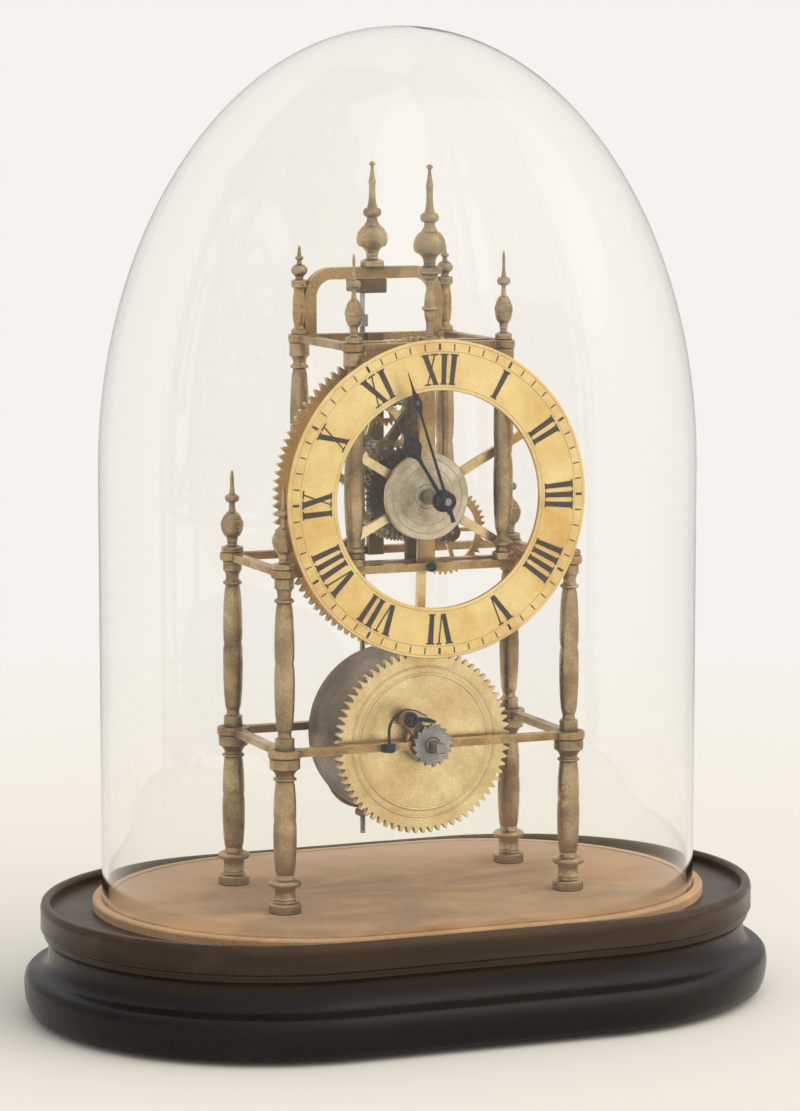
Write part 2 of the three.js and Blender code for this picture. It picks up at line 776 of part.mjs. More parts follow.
function barrelArbor() {
  const hubFront = drumFront + 2 * endShake;
  const hubBack = drumBack - drumWall - 2 * endShake;
  const shoulderFront = frontBarBack + endShake;
  const shoulderBack = backBarFront - endShake;
  const nose = frontBarFace - fitGap - ratchetThickness - endShake;
  const turning = turnedOnArbor([
    [barrelPivotRadius, nose], [barrelPivotRadius, shoulderFront],
    [barrelArborRadius, shoulderFront], [barrelArborRadius, hubFront],
    [barrelHubRadius, hubFront], [barrelHubRadius, hubBack],
    [barrelArborRadius, hubBack], [barrelArborRadius, shoulderBack],
    [barrelPivotRadius, shoulderBack], [barrelPivotRadius, backBarFace],
  ]);
  const half = windingSquare / 2;
  return joined([turning, box(-half, half, nose - windingSquareLength, nose + endShake, -half, half)]);
}

const greatPhase = Math.PI / 2;
const drum = joined(
  [rod(drumRadius, drumFront, drumBack, 0, 0, ringSides)],
  [
    rod(drumRadius - drumWall, drumFront - overrun, drumBack - drumWall, 0, 0, ringSides),
    rod(arborBore, drumFront, drumBack + overrun),
  ],
);
const greatOutline = gearOutline(barrelTeeth, greatModule, wheelToothShares, greatPhase);
const greatWheel = facing(greatOutline, [circle(arborBore, boreSides)], greatWheelThickness, wheelPlaneY);
const springFront = drumFront + (drumDepth - drumWall - springWidth) / 2;
place('barrel_drum', drum, 'brass', 0, 0, tierOneHeight);
place('great_wheel', greatWheel, 'brass', 0, 0, tierOneHeight);
place('mainspring', facing(spiral(), [], springWidth, springFront), 'blued', 0, 0, tierOneHeight);
place('barrel_arbor', barrelArbor(), 'steel', 0, 0, tierOneHeight);

// Ratchet, click and click spring on the front of the lower frame
const ratchetFront = frontBarFace - fitGap - ratchetThickness;
const clickFront = frontBarFace - fitGap - clickThickness;

function ratchetOutline() {
  const pitch = (2 * Math.PI) / ratchetTeeth;
  const outline = [];
  for (let i = 0; i < ratchetTeeth; i++) {
    outline.push(polar(ratchetRadius, i * pitch));
    outline.push(polar(ratchetRadius - ratchetDepth, (i + rampShare) * pitch));
  }
  return outline;
}

// The click's working edge lies on the tangent from its pin to the circle just outside the ratchet's tips
function click() {
  const pin = new THREE.Vector2(-clickReach, clickRise);
  const ride = ratchetRadius + fitGap;
  const noseAngle = Math.atan2(pin.y, pin.x) - Math.acos(ride / pin.length());
  const nose = polar(ride, noseAngle);
  const out = polar(clickArmWidth, noseAngle);
  const arm = [pin, nose, nose.clone().addScaledVector(out, noseShare), pin.clone().add(out)];
  const front = clickFront;
  return joined([
    rod(clickEyeRadius, front, front + clickThickness, pin.x, pin.y),
    facing(arm, [], clickThickness, front),
    rod(clickPinRadius, front + clickThickness / 2, frontBarBack, pin.x, pin.y, smallSides),
  ]);
}

function clickSpring() {
  const knots = clickSpringShares.map(([x, z]) => new THREE.Vector3(x * clickReach, z * clickRise, 0));
  const line = new THREE.CatmullRomCurve3(knots).getPoints(2 * clickSpringShares.length);
  const side = (offset) => line.map((point, i) => {
    const ahead = line[Math.min(i + 1, line.length - 1)];
    const behind = line[Math.max(i - 1, 0)];
    const across = new THREE.Vector2(behind.y - ahead.y, ahead.x - behind.x).normalize();
    return new THREE.Vector2(point.x, point.y).addScaledVector(across, offset);
  });
  const leaf = [...side(clickSpringThickness / 2), ...side(-clickSpringThickness / 2).reverse()];
  const footX = clickSpringShares[0][0] * clickReach;
  const footHalf = barThickness / 2;
  return joined([
    facing(leaf, [], clickThickness, clickFront),
    box(footX - clickSpringFoot, footX + clickSpringFoot, clickFront, frontBarFace, -footHalf, footHalf),
  ]);
}

const ratchet = facing(ratchetOutline(), [circle(barrelBore, boreSides)], ratchetThickness, ratchetFront);
place('ratchet_wheel', ratchet, 'steel', 0, 0, tierOneHeight);
place('click', click(), 'blued', 0, 0, tierOneHeight);
place('click_spring', clickSpring(), 'blued', 0, 0, tierOneHeight);

// Hour wheel, its pipe and the first step-up gear
const hourPhase = meshed(hourWheelTeeth, arbors.barrel, arbors.centre, barrelTeeth, greatPhase);
const hourOutline = gearOutline(hourWheelTeeth, greatModule, wheelToothShares, hourPhase);
const hourRoot = rootRadius(hourWheelTeeth, greatModule, wheelToothShares);
const hourHoles = [
  circle(pipeRadius + fitGap, boreSides),
  ...windows(hourWheelArms, hourWheelHubRadius, hourRoot - hourRimWidth, hourSpokeWidth, largeArcSteps),
];
const hourWheel = facing(hourOutline, hourHoles, hourWheelThickness, wheelPlaneY);
const hourHandBack = dialFront - handGap;
const minuteHandBack = hourHandBack - handThickness - handGap;
const pipeGearFront = frontY + pipeGearPlace;
const pipeBack = pipeGearFront + pipeGearThickness + endShake;
const pipeBore = centreArborRadius + fitGap;

function hourPipe() {
  const wheelBack = wheelPlaneY + hourWheelThickness;
  const gear = gearOutline(pipeGearTeeth, motionModule, fineToothShares, 0);
  return joined(
    [
      rod(pipeRadius, hourHandBack - handThickness - endShake, pipeBack),
      rod(pipeCollarRadius, wheelBack, wheelBack + pipeCollarThickness),
      facing(gear, [], pipeGearThickness, pipeGearFront),
    ],
    [rod(pipeBore, hourHandBack - handThickness - overrun, pipeBack + overrun)],
  );
}

place('hour_wheel', hourWheel, 'brass', 0, 0, dialCentreHeight);
place('hour_pipe', hourPipe(), 'steel', 0, 0, dialCentreHeight);

// Arbor between the middle and back plates with a pinion cut on it
const shoulderFront = middlePlateY + plateThickness + endShake;
const shoulderBack = backPlateY - endShake;

function pinionedArbor(radius, teeth, module, shares, phase, middle, front = null) {
  const start = front === null ? [[pivotRadius, middlePlateY], [pivotRadius, shoulderFront]] : [];
  const pinion = gearOutline(teeth, module, shares, phase);
  const shaft = turnedOnArbor([
    ...start,
    [radius, front === null ? shoulderFront : front],
    [radius, shoulderBack],
    [pivotRadius, shoulderBack],
    [pivotRadius, backBarFront],
  ], smallSides);
  return joined([shaft, facing(pinion, [], pinionLength, middle - pinionLength / 2)]);
}

function placeAt(name, geometry, finish, arbor) {
  place(name, geometry, finish, arbors[arbor].x, 0, arbors[arbor].y);
}

function trainWheel(teeth, module, phase, front, bore) {
  const root = rootRadius(teeth, module, fineToothShares);
  const outline = gearOutline(teeth, module, fineToothShares, phase);
  const holes = [
    circle(bore, smallSides),
    ...windows(wheelArms, wheelHubRadius, root - wheelRimWidth, wheelSpokeWidth, smallArcSteps),
  ];
  return facing(outline, holes, trainWheelThickness, front);
}

const middleOf = (front, thickness) => front + thickness / 2;
const setWheelFront = frontY + setWheelPlace;
const centreWheelFront = frontY + centreWheelPlace;
const thirdWheelFront = frontY + thirdWheelPlace;
const escapeWheelFront = frontY + escapeWheelPlace;

const setPinionPhase = meshed(setPinionTeeth, arbors.centre, arbors.set, pipeGearTeeth, 0);
const centrePinionPhase = meshed(centrePinionTeeth, arbors.set, arbors.centre, setWheelTeeth, 0);
const thirdPinionPhase = meshed(thirdPinionLeaves, arbors.centre, arbors.third, centreWheelTeeth, 0);
const escapePinionPhase = meshed(escapePinionLeaves, arbors.third, arbors.escape, thirdWheelTeeth, 0);

const setArbor = pinionedArbor(
  arborRadius, setPinionTeeth, motionModule, leafShares, setPinionPhase,
  middleOf(pipeGearFront, pipeGearThickness),
);
const centreArbor = pinionedArbor(
  centreArborRadius, centrePinionTeeth, setModule, leafShares, centrePinionPhase,
  middleOf(setWheelFront, trainWheelThickness), minuteHandBack - handThickness - overrun,
);
const thirdArbor = pinionedArbor(
  arborRadius, thirdPinionLeaves, trainModule, leafShares, thirdPinionPhase,
  middleOf(centreWheelFront, trainWheelThickness),
);
const escapeArbor = pinionedArbor(
  arborRadius, escapePinionLeaves, trainModule, leafShares, escapePinionPhase,
  middleOf(thirdWheelFront, trainWheelThickness),
);
const wheelBore = arborRadius + fitGap;
const setWheel = trainWheel(setWheelTeeth, setModule, 0, setWheelFront, wheelBore);
const centreWheel = trainWheel(centreWheelTeeth, trainModule, 0, centreWheelFront, pipeBore);
const thirdWheel = trainWheel(thirdWheelTeeth, trainModule, 0, thirdWheelFront, wheelBore);
placeAt('set_arbor', setArbor, 'steel', 'set');
placeAt('set_wheel', setWheel, 'brass', 'set');
placeAt('centre_arbor', centreArbor, 'steel', 'centre');
placeAt('centre_wheel', centreWheel, 'brass', 'centre');
placeAt('third_arbor', thirdArbor, 'steel', 'third');
placeAt('third_wheel', thirdWheel, 'brass', 'third');
placeAt('escape_arbor', escapeArbor, 'steel', 'escape');

function escapeOutline() {
  const pitch = (2 * Math.PI) / escapeTeeth;
  const outline = [];
  for (let i = 0; i < escapeTeeth; i++) {
    outline.push(polar(escapeRadius - escapeToothDepth, i * pitch));
    for (const share of escapeTipShares) outline.push(polar(escapeRadius, (i + share) * pitch));
  }
  return outline;
}

const escapeRim = escapeRadius - escapeToothDepth - wheelSpokeWidth;
const escapeHoles = [
  circle(wheelBore, smallSides),
  ...windows(wheelArms, wheelHubRadius, escapeRim, wheelSpokeWidth, smallArcSteps),
];
const escapeWheel = facing(escapeOutline(), escapeHoles, trainWheelThickness, escapeWheelFront);
placeAt('escape_wheel', escapeWheel, 'brass', 'escape');

// Anchor: a band round the escape wheel's centre with two nibs, on the pallet arbor
const palletFront = middleOf(escapeWheelFront, trainWheelThickness) - anchorThickness / 2;

function anchor() {
  const nibAngle = Math.acos(escapeRadius / palletDistance);
  const nibRadius = escapeRadius + nibClearance;
  const nibHalf = nibWidth / nibRadius / 2;
  const out = nibAngle + nibHalf;
  const back = nibAngle - nibHalf;
  const up = Math.PI / 2;
  const band = [
    ...arc(palletDistance + nibWidth, up - out, up + out, largeArcSteps),
    polar(nibRadius, up + out),
    polar(nibRadius, up + back),
    ...arc(palletDistance - nibWidth, up + back, up - back, largeArcSteps),
    polar(nibRadius, up - back),
    polar(nibRadius, up - out),
  ];
  const palletBack = palletFront + anchorThickness;
  return joined(
    [
      facing(band, [], anchorThickness, palletFront).translate(0, 0, -palletDistance),
      rod(anchorHubRadius, palletFront, palletBack),
    ],
    [rod(wheelBore, palletFront - overrun, palletBack + overrun, 0, 0, smallSides)],
  );
}

// Pallet arbor with the crutch behind the back plate, forked round the pendulum rod
function palletArbor() {
  const crutchFront = backBarFace + fitGap + crutchThickness;
  const crutchBack = crutchFront + crutchThickness;
  const shaft = turnedOnArbor([
    [pivotRadius, middlePlateY], [pivotRadius, shoulderFront],
    [arborRadius, shoulderFront], [arborRadius, crutchBack],
  ], smallSides);
  const prongIn = rodRadius + fitGap;
  const prongOut = prongIn + crutchThickness;
  const forkTop = -crutchDrop + forkDepth;
  const forkBack = pendulumY + rodRadius;
  return joined([
    shaft,
    rod(crutchWidth, crutchFront, crutchBack, 0, 0, smallSides),
    box(-crutchWidth / 2, crutchWidth / 2, crutchFront, crutchBack, forkTop - forkDepth / 2, 0),
    box(-prongOut, prongOut, crutchFront, crutchBack, -crutchDrop, forkTop),
    box(-prongOut, -prongIn, crutchFront, forkBack, -crutchDrop, forkTop),
    box(prongIn, prongOut, crutchFront, forkBack, -crutchDrop, forkTop),
  ]);
}

placeAt('anchor', anchor(), 'steel', 'pallet');
placeAt('pallet_arbor', palletArbor(), 'steel', 'pallet');

// Hands, drawn along +X and turned to the time that they show
function hand(shares, length, width, bore, angle, back) {
  const front = back - handThickness;
  const upper = shares.map(([along, half]) => new THREE.Vector2(along * length, half * width));
  const lower = upper.map((point) => new THREE.Vector2(point.x, -point.y)).reverse();
  const blade = facing([...upper, ...lower], [], handThickness, front);
  const hub = rod(handHubRadius, front, back);
  const hole = rod(bore, front - overrun, back + overrun);
  return joined([blade, hub], [hole]).rotateY(-THREE.MathUtils.degToRad(angle));
}

const hourHand = hand(
  hourHandShares, hourHandLength, hourHandWidth, pipeBearing, hourHandAngle, hourHandBack,
);
const minuteHand = hand(
  minuteHandShares, minuteHandLength, minuteHandWidth, pipeBore, minuteHandAngle, minuteHandBack,
);
placeAt('hour_hand', hourHand, 'blued', 'centre');
placeAt('minute_hand', minuteHand, 'blued', 'centre');

// Pendulum: cock under the arch, suspension spring, rod, bob and rating nut
function cock() {
  const half = cockWidth / 2;
  const slit = suspensionSpringThickness / 2 + fitGap;
  const top = archTop - archBarHeight;
  const slitFront = pendulumY - suspensionSpringWidth / 2 - fitGap;
  const back = backBarFront + cockDepth;
  const body = box(-half, half, backBarFront, back, suspensionHeight, top);
  const cut = box(-slit, slit, slitFront, back + overrun, suspensionHeight - overrun, top + overrun);
  return joined([body], [cut]);
}

function suspensionSpring() {
  const half = suspensionSpringThickness / 2;
  const halfWidth = suspensionSpringWidth / 2;
  const top = suspensionSpringGrip;
  return box(-half, half, -halfWidth, halfWidth, top - suspensionSpringLength, top);
}

const rodTop = suspensionHeight + suspensionSpringGrip - suspensionSpringLength;

function pendulumRod() {
  const clasp = suspensionSpringWidth / 2 + fitGap;
  return joined([
    turned([[rodRadius, rodBottom], [rodRadius, rodTop]], smallSides),
    box(-rodRadius - fitGap, rodRadius + fitGap, -clasp, clasp, rodTop - suspensionSpringWidth, rodTop),
  ]);
}

function bob() {
  const lens = turnedOnArbor(scaled(bobShares, bobRadius, bobThickness), bobSides);
  const boreRadius = rodRadius + fitGap;
  const reach = bobRadius + overrun;
  return joined([lens], [turned([[boreRadius, -reach], [boreRadius, reach]], smallSides)]);
}

function ratingNut() {
  const bore = [[rodRadius + fitGap, -overrun], [rodRadius + fitGap, nutThickness + overrun]];
  return joined([turned(scaled(nutShares, nutRadius, nutThickness))], [turned(bore, smallSides)]);
}

const nutHeight = bobHeight - bobRadius - fitGap - nutThickness;
place('pendulum_cock', cock(), 'brass');
place('suspension_spring', closed(suspensionSpring()), 'steel', 0, pendulumY, suspensionHeight);
place('pendulum_rod', pendulumRod(), 'steel', 0, pendulumY);
place('pendulum_bob', bob(), 'brass', 0, pendulumY, bobHeight);
place('rating_nut', ratingNut(), 'brass', 0, pendulumY, nutHeight);

export default clock;
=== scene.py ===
import json
import math

import bmesh
import bpy
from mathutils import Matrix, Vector


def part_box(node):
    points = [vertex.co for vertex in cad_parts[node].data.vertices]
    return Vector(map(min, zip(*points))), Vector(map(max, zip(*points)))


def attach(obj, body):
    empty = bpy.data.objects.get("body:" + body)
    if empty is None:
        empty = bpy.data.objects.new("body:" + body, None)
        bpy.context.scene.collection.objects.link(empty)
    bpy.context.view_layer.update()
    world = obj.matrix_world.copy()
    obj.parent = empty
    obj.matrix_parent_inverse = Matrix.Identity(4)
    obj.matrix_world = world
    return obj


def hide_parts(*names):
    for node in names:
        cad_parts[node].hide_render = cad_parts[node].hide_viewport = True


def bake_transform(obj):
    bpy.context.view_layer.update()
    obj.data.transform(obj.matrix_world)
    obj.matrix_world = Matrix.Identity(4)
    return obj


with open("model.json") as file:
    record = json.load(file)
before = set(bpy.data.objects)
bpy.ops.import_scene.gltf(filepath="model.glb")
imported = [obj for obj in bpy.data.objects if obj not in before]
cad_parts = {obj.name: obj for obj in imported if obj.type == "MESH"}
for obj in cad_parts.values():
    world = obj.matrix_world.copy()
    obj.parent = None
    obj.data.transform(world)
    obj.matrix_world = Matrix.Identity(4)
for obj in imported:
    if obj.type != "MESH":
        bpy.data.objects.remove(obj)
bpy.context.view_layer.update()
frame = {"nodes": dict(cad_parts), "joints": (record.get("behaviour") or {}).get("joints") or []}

mm = 0.001


# camera and light

view = {
    "azimuth": -22.0,        # degrees, seen from the left front
    "distance": 1.640,       # metres from the clock's axis
    "height": 0.389,
    "focalPixels": 4000,
    "horizonPixel": 60,      # row of the photograph that the horizon would lie on
    "imageHeight": 1111,
    "sensor": 36.0,
}


def makeCamera():
    data = bpy.data.cameras.new("camera")
    data.sensor_width = view["sensor"]
    data.lens = view["focalPixels"] * view["sensor"] / view["imageHeight"]
    data.clip_start, data.clip_end = 0.05, 30
    camera = bpy.data.objects.new("camera", data)
    bpy.context.collection.objects.link(camera)
    turn = math.radians(view["azimuth"])
    pitch = math.atan((view["imageHeight"] / 2 - view["horizonPixel"]) / view["focalPixels"])
    camera.location = (math.sin(turn) * view["distance"], -math.cos(turn) * view["distance"], view["height"])
    camera.rotation_euler = (math.pi / 2 - pitch, 0, turn)
    bpy.context.scene.camera = camera


makeCamera()
print("camera set")


# node helpers, used by shader and geometry trees alike

def setSocket(tree, socket, value):
    # a value may be a plain one, a node's output, a node for its first output, or a formula for calc
    if isinstance(value, tuple) and isinstance(value[0], str):
        value = calc(tree, *value)
    if isinstance(value, bpy.types.Node):
        value = value.outputs[0]
    if isinstance(value, bpy.types.NodeSocket):
        tree.links.new(value, socket)
    elif socket.type == "RGBA" and len(value) == 3:
        socket.default_value = (*value, 1.0)
    else:
        socket.default_value = value


def addNode(tree, kind, inputs=None, **settings):
    made = tree.nodes.new(kind)
    for key, value in settings.items():
        setattr(made, key, value)
    for key, value in (inputs or {}).items():
        setSocket(tree, made.inputs[key], value)
    return made


def calc(tree, operation, first, second=0.0, third=0.0):
    values = {0: first, 1: second, 2: third}
    return addNode(tree, "ShaderNodeMath", values, operation=operation)


def vectorCalc(tree, operation, first, second=(0.0, 0.0, 0.0)):
    made = addNode(tree, "ShaderNodeVectorMath", {0: first, 1: second}, operation=operation)
    return made.outputs["Value" if operation in ("DOT_PRODUCT", "LENGTH") else "Vector"]


def mapped(tree, value, low, high, top=1.0, **settings):
    limits = {"Value": value, "From Min": low, "From Max": high, "To Max": top}
    return addNode(tree, "ShaderNodeMapRange", limits, **settings).outputs["Result"]


def clamped(tree, value, top=1.0):
    return calc(tree, "MINIMUM", ("MAXIMUM", value, 0.0), top)


def noise(tree, where, scale, detail, **more):
    inputs = {"Vector": where, "Scale": scale, "Detail": detail}
    inputs.update({key.capitalize(): value for key, value in more.items()})
    return addNode(tree, "ShaderNodeTexNoise", inputs).outputs["Fac"]


def onObject(tree):
    return addNode(tree, "ShaderNodeTexCoord").outputs["Object"]


def blendColours(tree, amount, first, second):
    return addNode(tree, "ShaderNodeMix", {0: amount, 6: first, 7: second}, data_type="RGBA").outputs[2]


socketTypes = {
    float: "NodeSocketFloat", int: "NodeSocketInt", tuple: "NodeSocketVector",
    type(None): "NodeSocketMaterial",
}


def addInputs(group, values):
    # one named input for each value; its type follows the value's
    for label, value in values.items():
        socket = group.interface.new_socket(label, in_out="INPUT", socket_type=socketTypes[type(value)])
        if value is not None:
            socket.default_value = value
    return group.nodes.new("NodeGroupInput").outputs


# shader groups shared by the materials

def shaderGroup(name, build, output, values):
    group = bpy.data.node_groups.new(name, "ShaderNodeTree")
    source = addInputs(group, values)
    group.interface.new_socket(output, in_out="OUTPUT", socket_type="NodeSocketFloat")
    setSocket(group, group.nodes.new("NodeGroupOutput").inputs[0], build(group, source))
    return group


def unevenTone(group, source):
    where = onObject(group)
    patches = noise(group, where, source["Patch Scale"], 4.0, roughness=0.6)
    flecks = noise(group, where, source["Fleck Scale"], 3.0, roughness=0.7)
    mixed = calc(group, "ADD", ("MULTIPLY", patches, 0.7), ("MULTIPLY", flecks, 0.3))
    centred = calc(group, "MULTIPLY", ("SUBTRACT", mixed, 0.5), source["Contrast"])
    return clamped(group, ("MULTIPLY_ADD", centred, 3.0, 0.5))


def edgeWear(group, source):
    rounded = addNode(group, "ShaderNodeBevel", {"Radius": source["Edge Width"]}, samples=4)
    flat = addNode(group, "ShaderNodeNewGeometry").outputs["Normal"]
    match = vectorCalc(group, "DOT_PRODUCT", rounded, flat)
    edge = calc(group, "MULTIPLY", ("SUBTRACT", 1.0, match), 9.0)
    breaks = noise(group, onObject(group), source["Break Scale"], 4.0, roughness=0.7)
    broken = calc(group, "MULTIPLY", edge, ("MULTIPLY_ADD", breaks, 1.6, -0.2))
    return clamped(group, ("MULTIPLY", broken, source["Amount"]))


def fineScratches(group, source):
    where = onObject(group)
    drawn = vectorCalc(group, "MULTIPLY", where, source["Stretch"])
    lines = noise(group, drawn, source["Scale"], 5.0, roughness=0.65)
    cells = {"Vector": where, "Scale": source["Scale"]}
    hair = addNode(group, "ShaderNodeTexVoronoi", cells, feature="DISTANCE_TO_EDGE").outputs["Distance"]
    return calc(group, "ADD", lines, ("MULTIPLY", ("MINIMUM", hair, 0.06), 3.0))


def settledDust(group, source):
    normal = addNode(group, "ShaderNodeNewGeometry").outputs["Normal"]
    facing = addNode(group, "ShaderNodeSeparateXYZ", {0: normal}).outputs["Z"]
    level = calc(group, "POWER", ("MAXIMUM", facing, 0.0), 3.0)
    specks = noise(group, onObject(group), source["Scale"], 6.0, roughness=0.75)
    thin = calc(group, "MULTIPLY", ("MULTIPLY", level, specks), source["Amount"])
    return calc(group, "MINIMUM", thin, 1.0)


def turningLines(group, source):
    away = vectorCalc(group, "SUBTRACT", onObject(group), source["Centre"])
    radius = vectorCalc(group, "LENGTH", vectorCalc(group, "MULTIPLY", away, (1.0, 0.0, 1.0)))
    return addNode(group, "ShaderNodeTexNoise", {
        "W": ("MULTIPLY", radius, source["Fineness"]), "Scale": 1.0, "Detail": 3.0, "Roughness": 0.7,
    }, noise_dimensions="1D").outputs["Fac"]


# grime together with painted shade: corners and recesses that ambient occlusion finds closed are darkened
def grimeAndShadeInCorners(group, source):
    sky = addNode(group, "ShaderNodeAmbientOcclusion", {"Distance": source["Reach"]}, samples=6).outputs["AO"]
    closed = calc(group, "POWER", ("SUBTRACT", 1.0, sky), 0.8)
    breaks = noise(group, onObject(group), 320.0, 4.0, roughness=0.65)
    broken = calc(group, "MULTIPLY", closed, ("MULTIPLY_ADD", breaks, 1.4, 0.5))
    return clamped(group, ("MULTIPLY", broken, source["Amount"]))


toneGroup = shaderGroup("uneven tone", unevenTone, "Mask", {
    "Patch Scale": 60.0, "Fleck Scale": 700.0, "Contrast": 1.0,
})
turningGroup = shaderGroup("turning lines", turningLines, "Height", {
    "Centre": (0.0, 0.0, 0.0), "Fineness": 2600.0,
})
grimeAndShadeGroup = shaderGroup("grime and painted shade in corners", grimeAndShadeInCorners, "Mask", {"Reach": 0.003, "Amount": 1.0})
edgeWearGroup = shaderGroup("edge wear", edgeWear, "Mask", {
    "Edge Width": 0.0006, "Break Scale": 400.0, "Amount": 1.0,
})
scratchGroup = shaderGroup("fine scratches", fineScratches, "Height", {
    "Stretch": (1.0, 1.0, 1.0), "Scale": 900.0,
})
dustGroup = shaderGroup("settled dust", settledDust, "Mask", {"Amount": 0.3, "Scale": 250.0})


def useGroup(tree, group, **values):
    made = addNode(tree, "ShaderNodeGroup", node_tree=group)
    for key, value in values.items():
        made.inputs[key.replace("_", " ")].default_value = value
    return made


def startMaterial(name):
    material = bpy.data.materials.new(name)
    material.use_nodes = True
    return material, material.node_tree, material.node_tree.nodes["Principled BSDF"]


def setShader(tree, shader, values):
    for key, value in values.items():
        setSocket(tree, shader.inputs[key], value)


def bumped(tree, height, strength, distance):
    return addNode(tree, "ShaderNodeBump", {
        "Height": height, "Strength": strength, "Distance": distance,
    })


metalLooks = {
    "old_brass": {
        "base": (0.56, 0.37, 0.155), "dark": (0.20, 0.11, 0.035), "bright": (0.88, 0.68, 0.38),
        "patch": 55.0, "fleck": 900.0, "contrast": 1.2, "rough": (0.2, 0.44),
        "stretch": (1.0, 1.0, 9.0), "scratch": 700.0,
        "bump": 0.1, "wear": 0.9, "edge": 0.0005, "grimeAndShade": 0.95,
    },
    "turned_brass": {
        "base": (0.54, 0.40, 0.215), "dark": (0.19, 0.12, 0.05), "bright": (0.86, 0.71, 0.46),
        "patch": 60.0, "fleck": 1100.0, "contrast": 1.25, "rough": (0.2, 0.44),
        "stretch": (1.0, 1.0, 14.0), "scratch": 500.0,
        "bump": 0.12, "wear": 0.8, "edge": 0.0005, "grimeAndShade": 1.0,
    },
    "wheel_brass": {
        "base": (0.96, 0.77, 0.42), "dark": (0.60, 0.41, 0.16), "bright": (0.98, 0.86, 0.58),
        "patch": 48.0, "fleck": 1200.0, "contrast": 1.1, "rough": (0.2, 0.4),
        "stretch": (1.0, 1.0, 1.0), "scratch": 500.0,
        "bump": 0.1, "wear": 0.8, "edge": 0.0004, "grimeAndShade": 0.9,
    },
    # a darker copy of the brass that paints shade onto the drum, the middle and back strips and the cock
    "painted_shade_brass": {
        "base": (0.185, 0.115, 0.045), "dark": (0.062, 0.035, 0.012), "bright": (0.62, 0.43, 0.20),
        "patch": 42.0, "fleck": 900.0, "contrast": 1.3, "rough": (0.26, 0.5),
        "stretch": (1.0, 12.0, 1.0), "scratch": 500.0,
        "bump": 0.12, "wear": 0.9, "edge": 0.0006, "grimeAndShade": 1.0,
    },
    "dial_gilt": {
        "base": (0.98, 0.77, 0.34), "dark": (0.76, 0.46, 0.13), "bright": (0.99, 0.86, 0.52),
        "patch": 38.0, "fleck": 1600.0, "contrast": 1.35, "rough": (0.26, 0.5),
        "stretch": (6.0, 1.0, 1.0), "scratch": 1300.0,
        "bump": 0.07, "wear": 0.7, "edge": 0.0006, "grimeAndShade": 0.6,
    },
    "silvered": {
        "base": (0.70, 0.62, 0.45), "dark": (0.38, 0.31, 0.18), "bright": (0.88, 0.83, 0.68),
        "patch": 120.0, "fleck": 1500.0, "contrast": 1.3, "rough": (0.28, 0.5),
        "stretch": (5.0, 1.0, 1.0), "scratch": 1500.0,
        "bump": 0.08, "wear": 0.6, "edge": 0.0004, "grimeAndShade": 0.8,
    },
    "polished_steel": {
        "base": (0.44, 0.43, 0.41), "dark": (0.18, 0.165, 0.145), "bright": (0.70, 0.69, 0.66),
        "patch": 90.0, "fleck": 1300.0, "contrast": 1.1, "rough": (0.18, 0.38),
        "stretch": (1.0, 8.0, 1.0), "scratch": 900.0,
        "bump": 0.1, "wear": 0.7, "edge": 0.0004, "grimeAndShade": 0.8,
    },
    "blued_steel": {
        "base": (0.022, 0.030, 0.052), "dark": (0.010, 0.012, 0.018), "bright": (0.17, 0.18, 0.19),
        "patch": 110.0, "fleck": 1300.0, "contrast": 1.1, "rough": (0.22, 0.4),
        "stretch": (1.0, 6.0, 1.0), "scratch": 900.0,
        "bump": 0.08, "wear": 0.5, "edge": 0.0003, "grimeAndShade": 0.3,
    },
}
# pieces faced on a lathe show its lines about the arbor or pipe that they sit on
facedMetals = {
    "wheel_brass_low": ("wheel_brass", "barrel_arbor"),
    "wheel_brass_high": ("wheel_brass", "hour_pipe"),
    "wheel_brass_third": ("wheel_brass", "third_arbor"),
    "wheel_brass_set": ("wheel_brass", "set_arbor"),
    "silvered": ("silvered", "hour_pipe"),
    "dial_gilt": ("dial_gilt", "hour_pipe"),
}
metalFinish = {"grimeAndShadeColour": (0.045, 0.028, 0.014), "grimeRoughness": 0.3, "reliefDepth": 0.0004}


def makeMetal(name, kind, facedOn=None):
    look = metalLooks[kind]
    material, tree, shader = startMaterial(name)
    tone = useGroup(tree, toneGroup, Patch_Scale=look["patch"], Fleck_Scale=look["fleck"],
                    Contrast=look["contrast"])
    worn = useGroup(tree, edgeWearGroup, Edge_Width=look["edge"], Amount=look["wear"])
    # grime and painted shade in corners darken the colour and roughen it
    grimeAndShade = useGroup(tree, grimeAndShadeGroup, Amount=look["grimeAndShade"])
    if facedOn:
        low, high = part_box(facedOn)
        height = useGroup(tree, turningGroup, Centre=(low + high) / 2)
    else:
        height = useGroup(tree, scratchGroup, Stretch=look["stretch"], Scale=look["scratch"])
    rubbed = blendColours(tree, worn, blendColours(tree, tone, look["dark"], look["base"]), look["bright"])
    smooth, dull = look["rough"]
    uneven = calc(tree, "MULTIPLY_ADD", tone, smooth - dull, dull)
    setShader(tree, shader, {
        "Base Color": blendColours(tree, grimeAndShade, rubbed, metalFinish["grimeAndShadeColour"]),
        "Roughness": ("MULTIPLY_ADD", grimeAndShade, metalFinish["grimeRoughness"], uneven),
        "Normal": bumped(tree, height, look["bump"], metalFinish["reliefDepth"]),
        "Metallic": 1.0,
    })
    return material


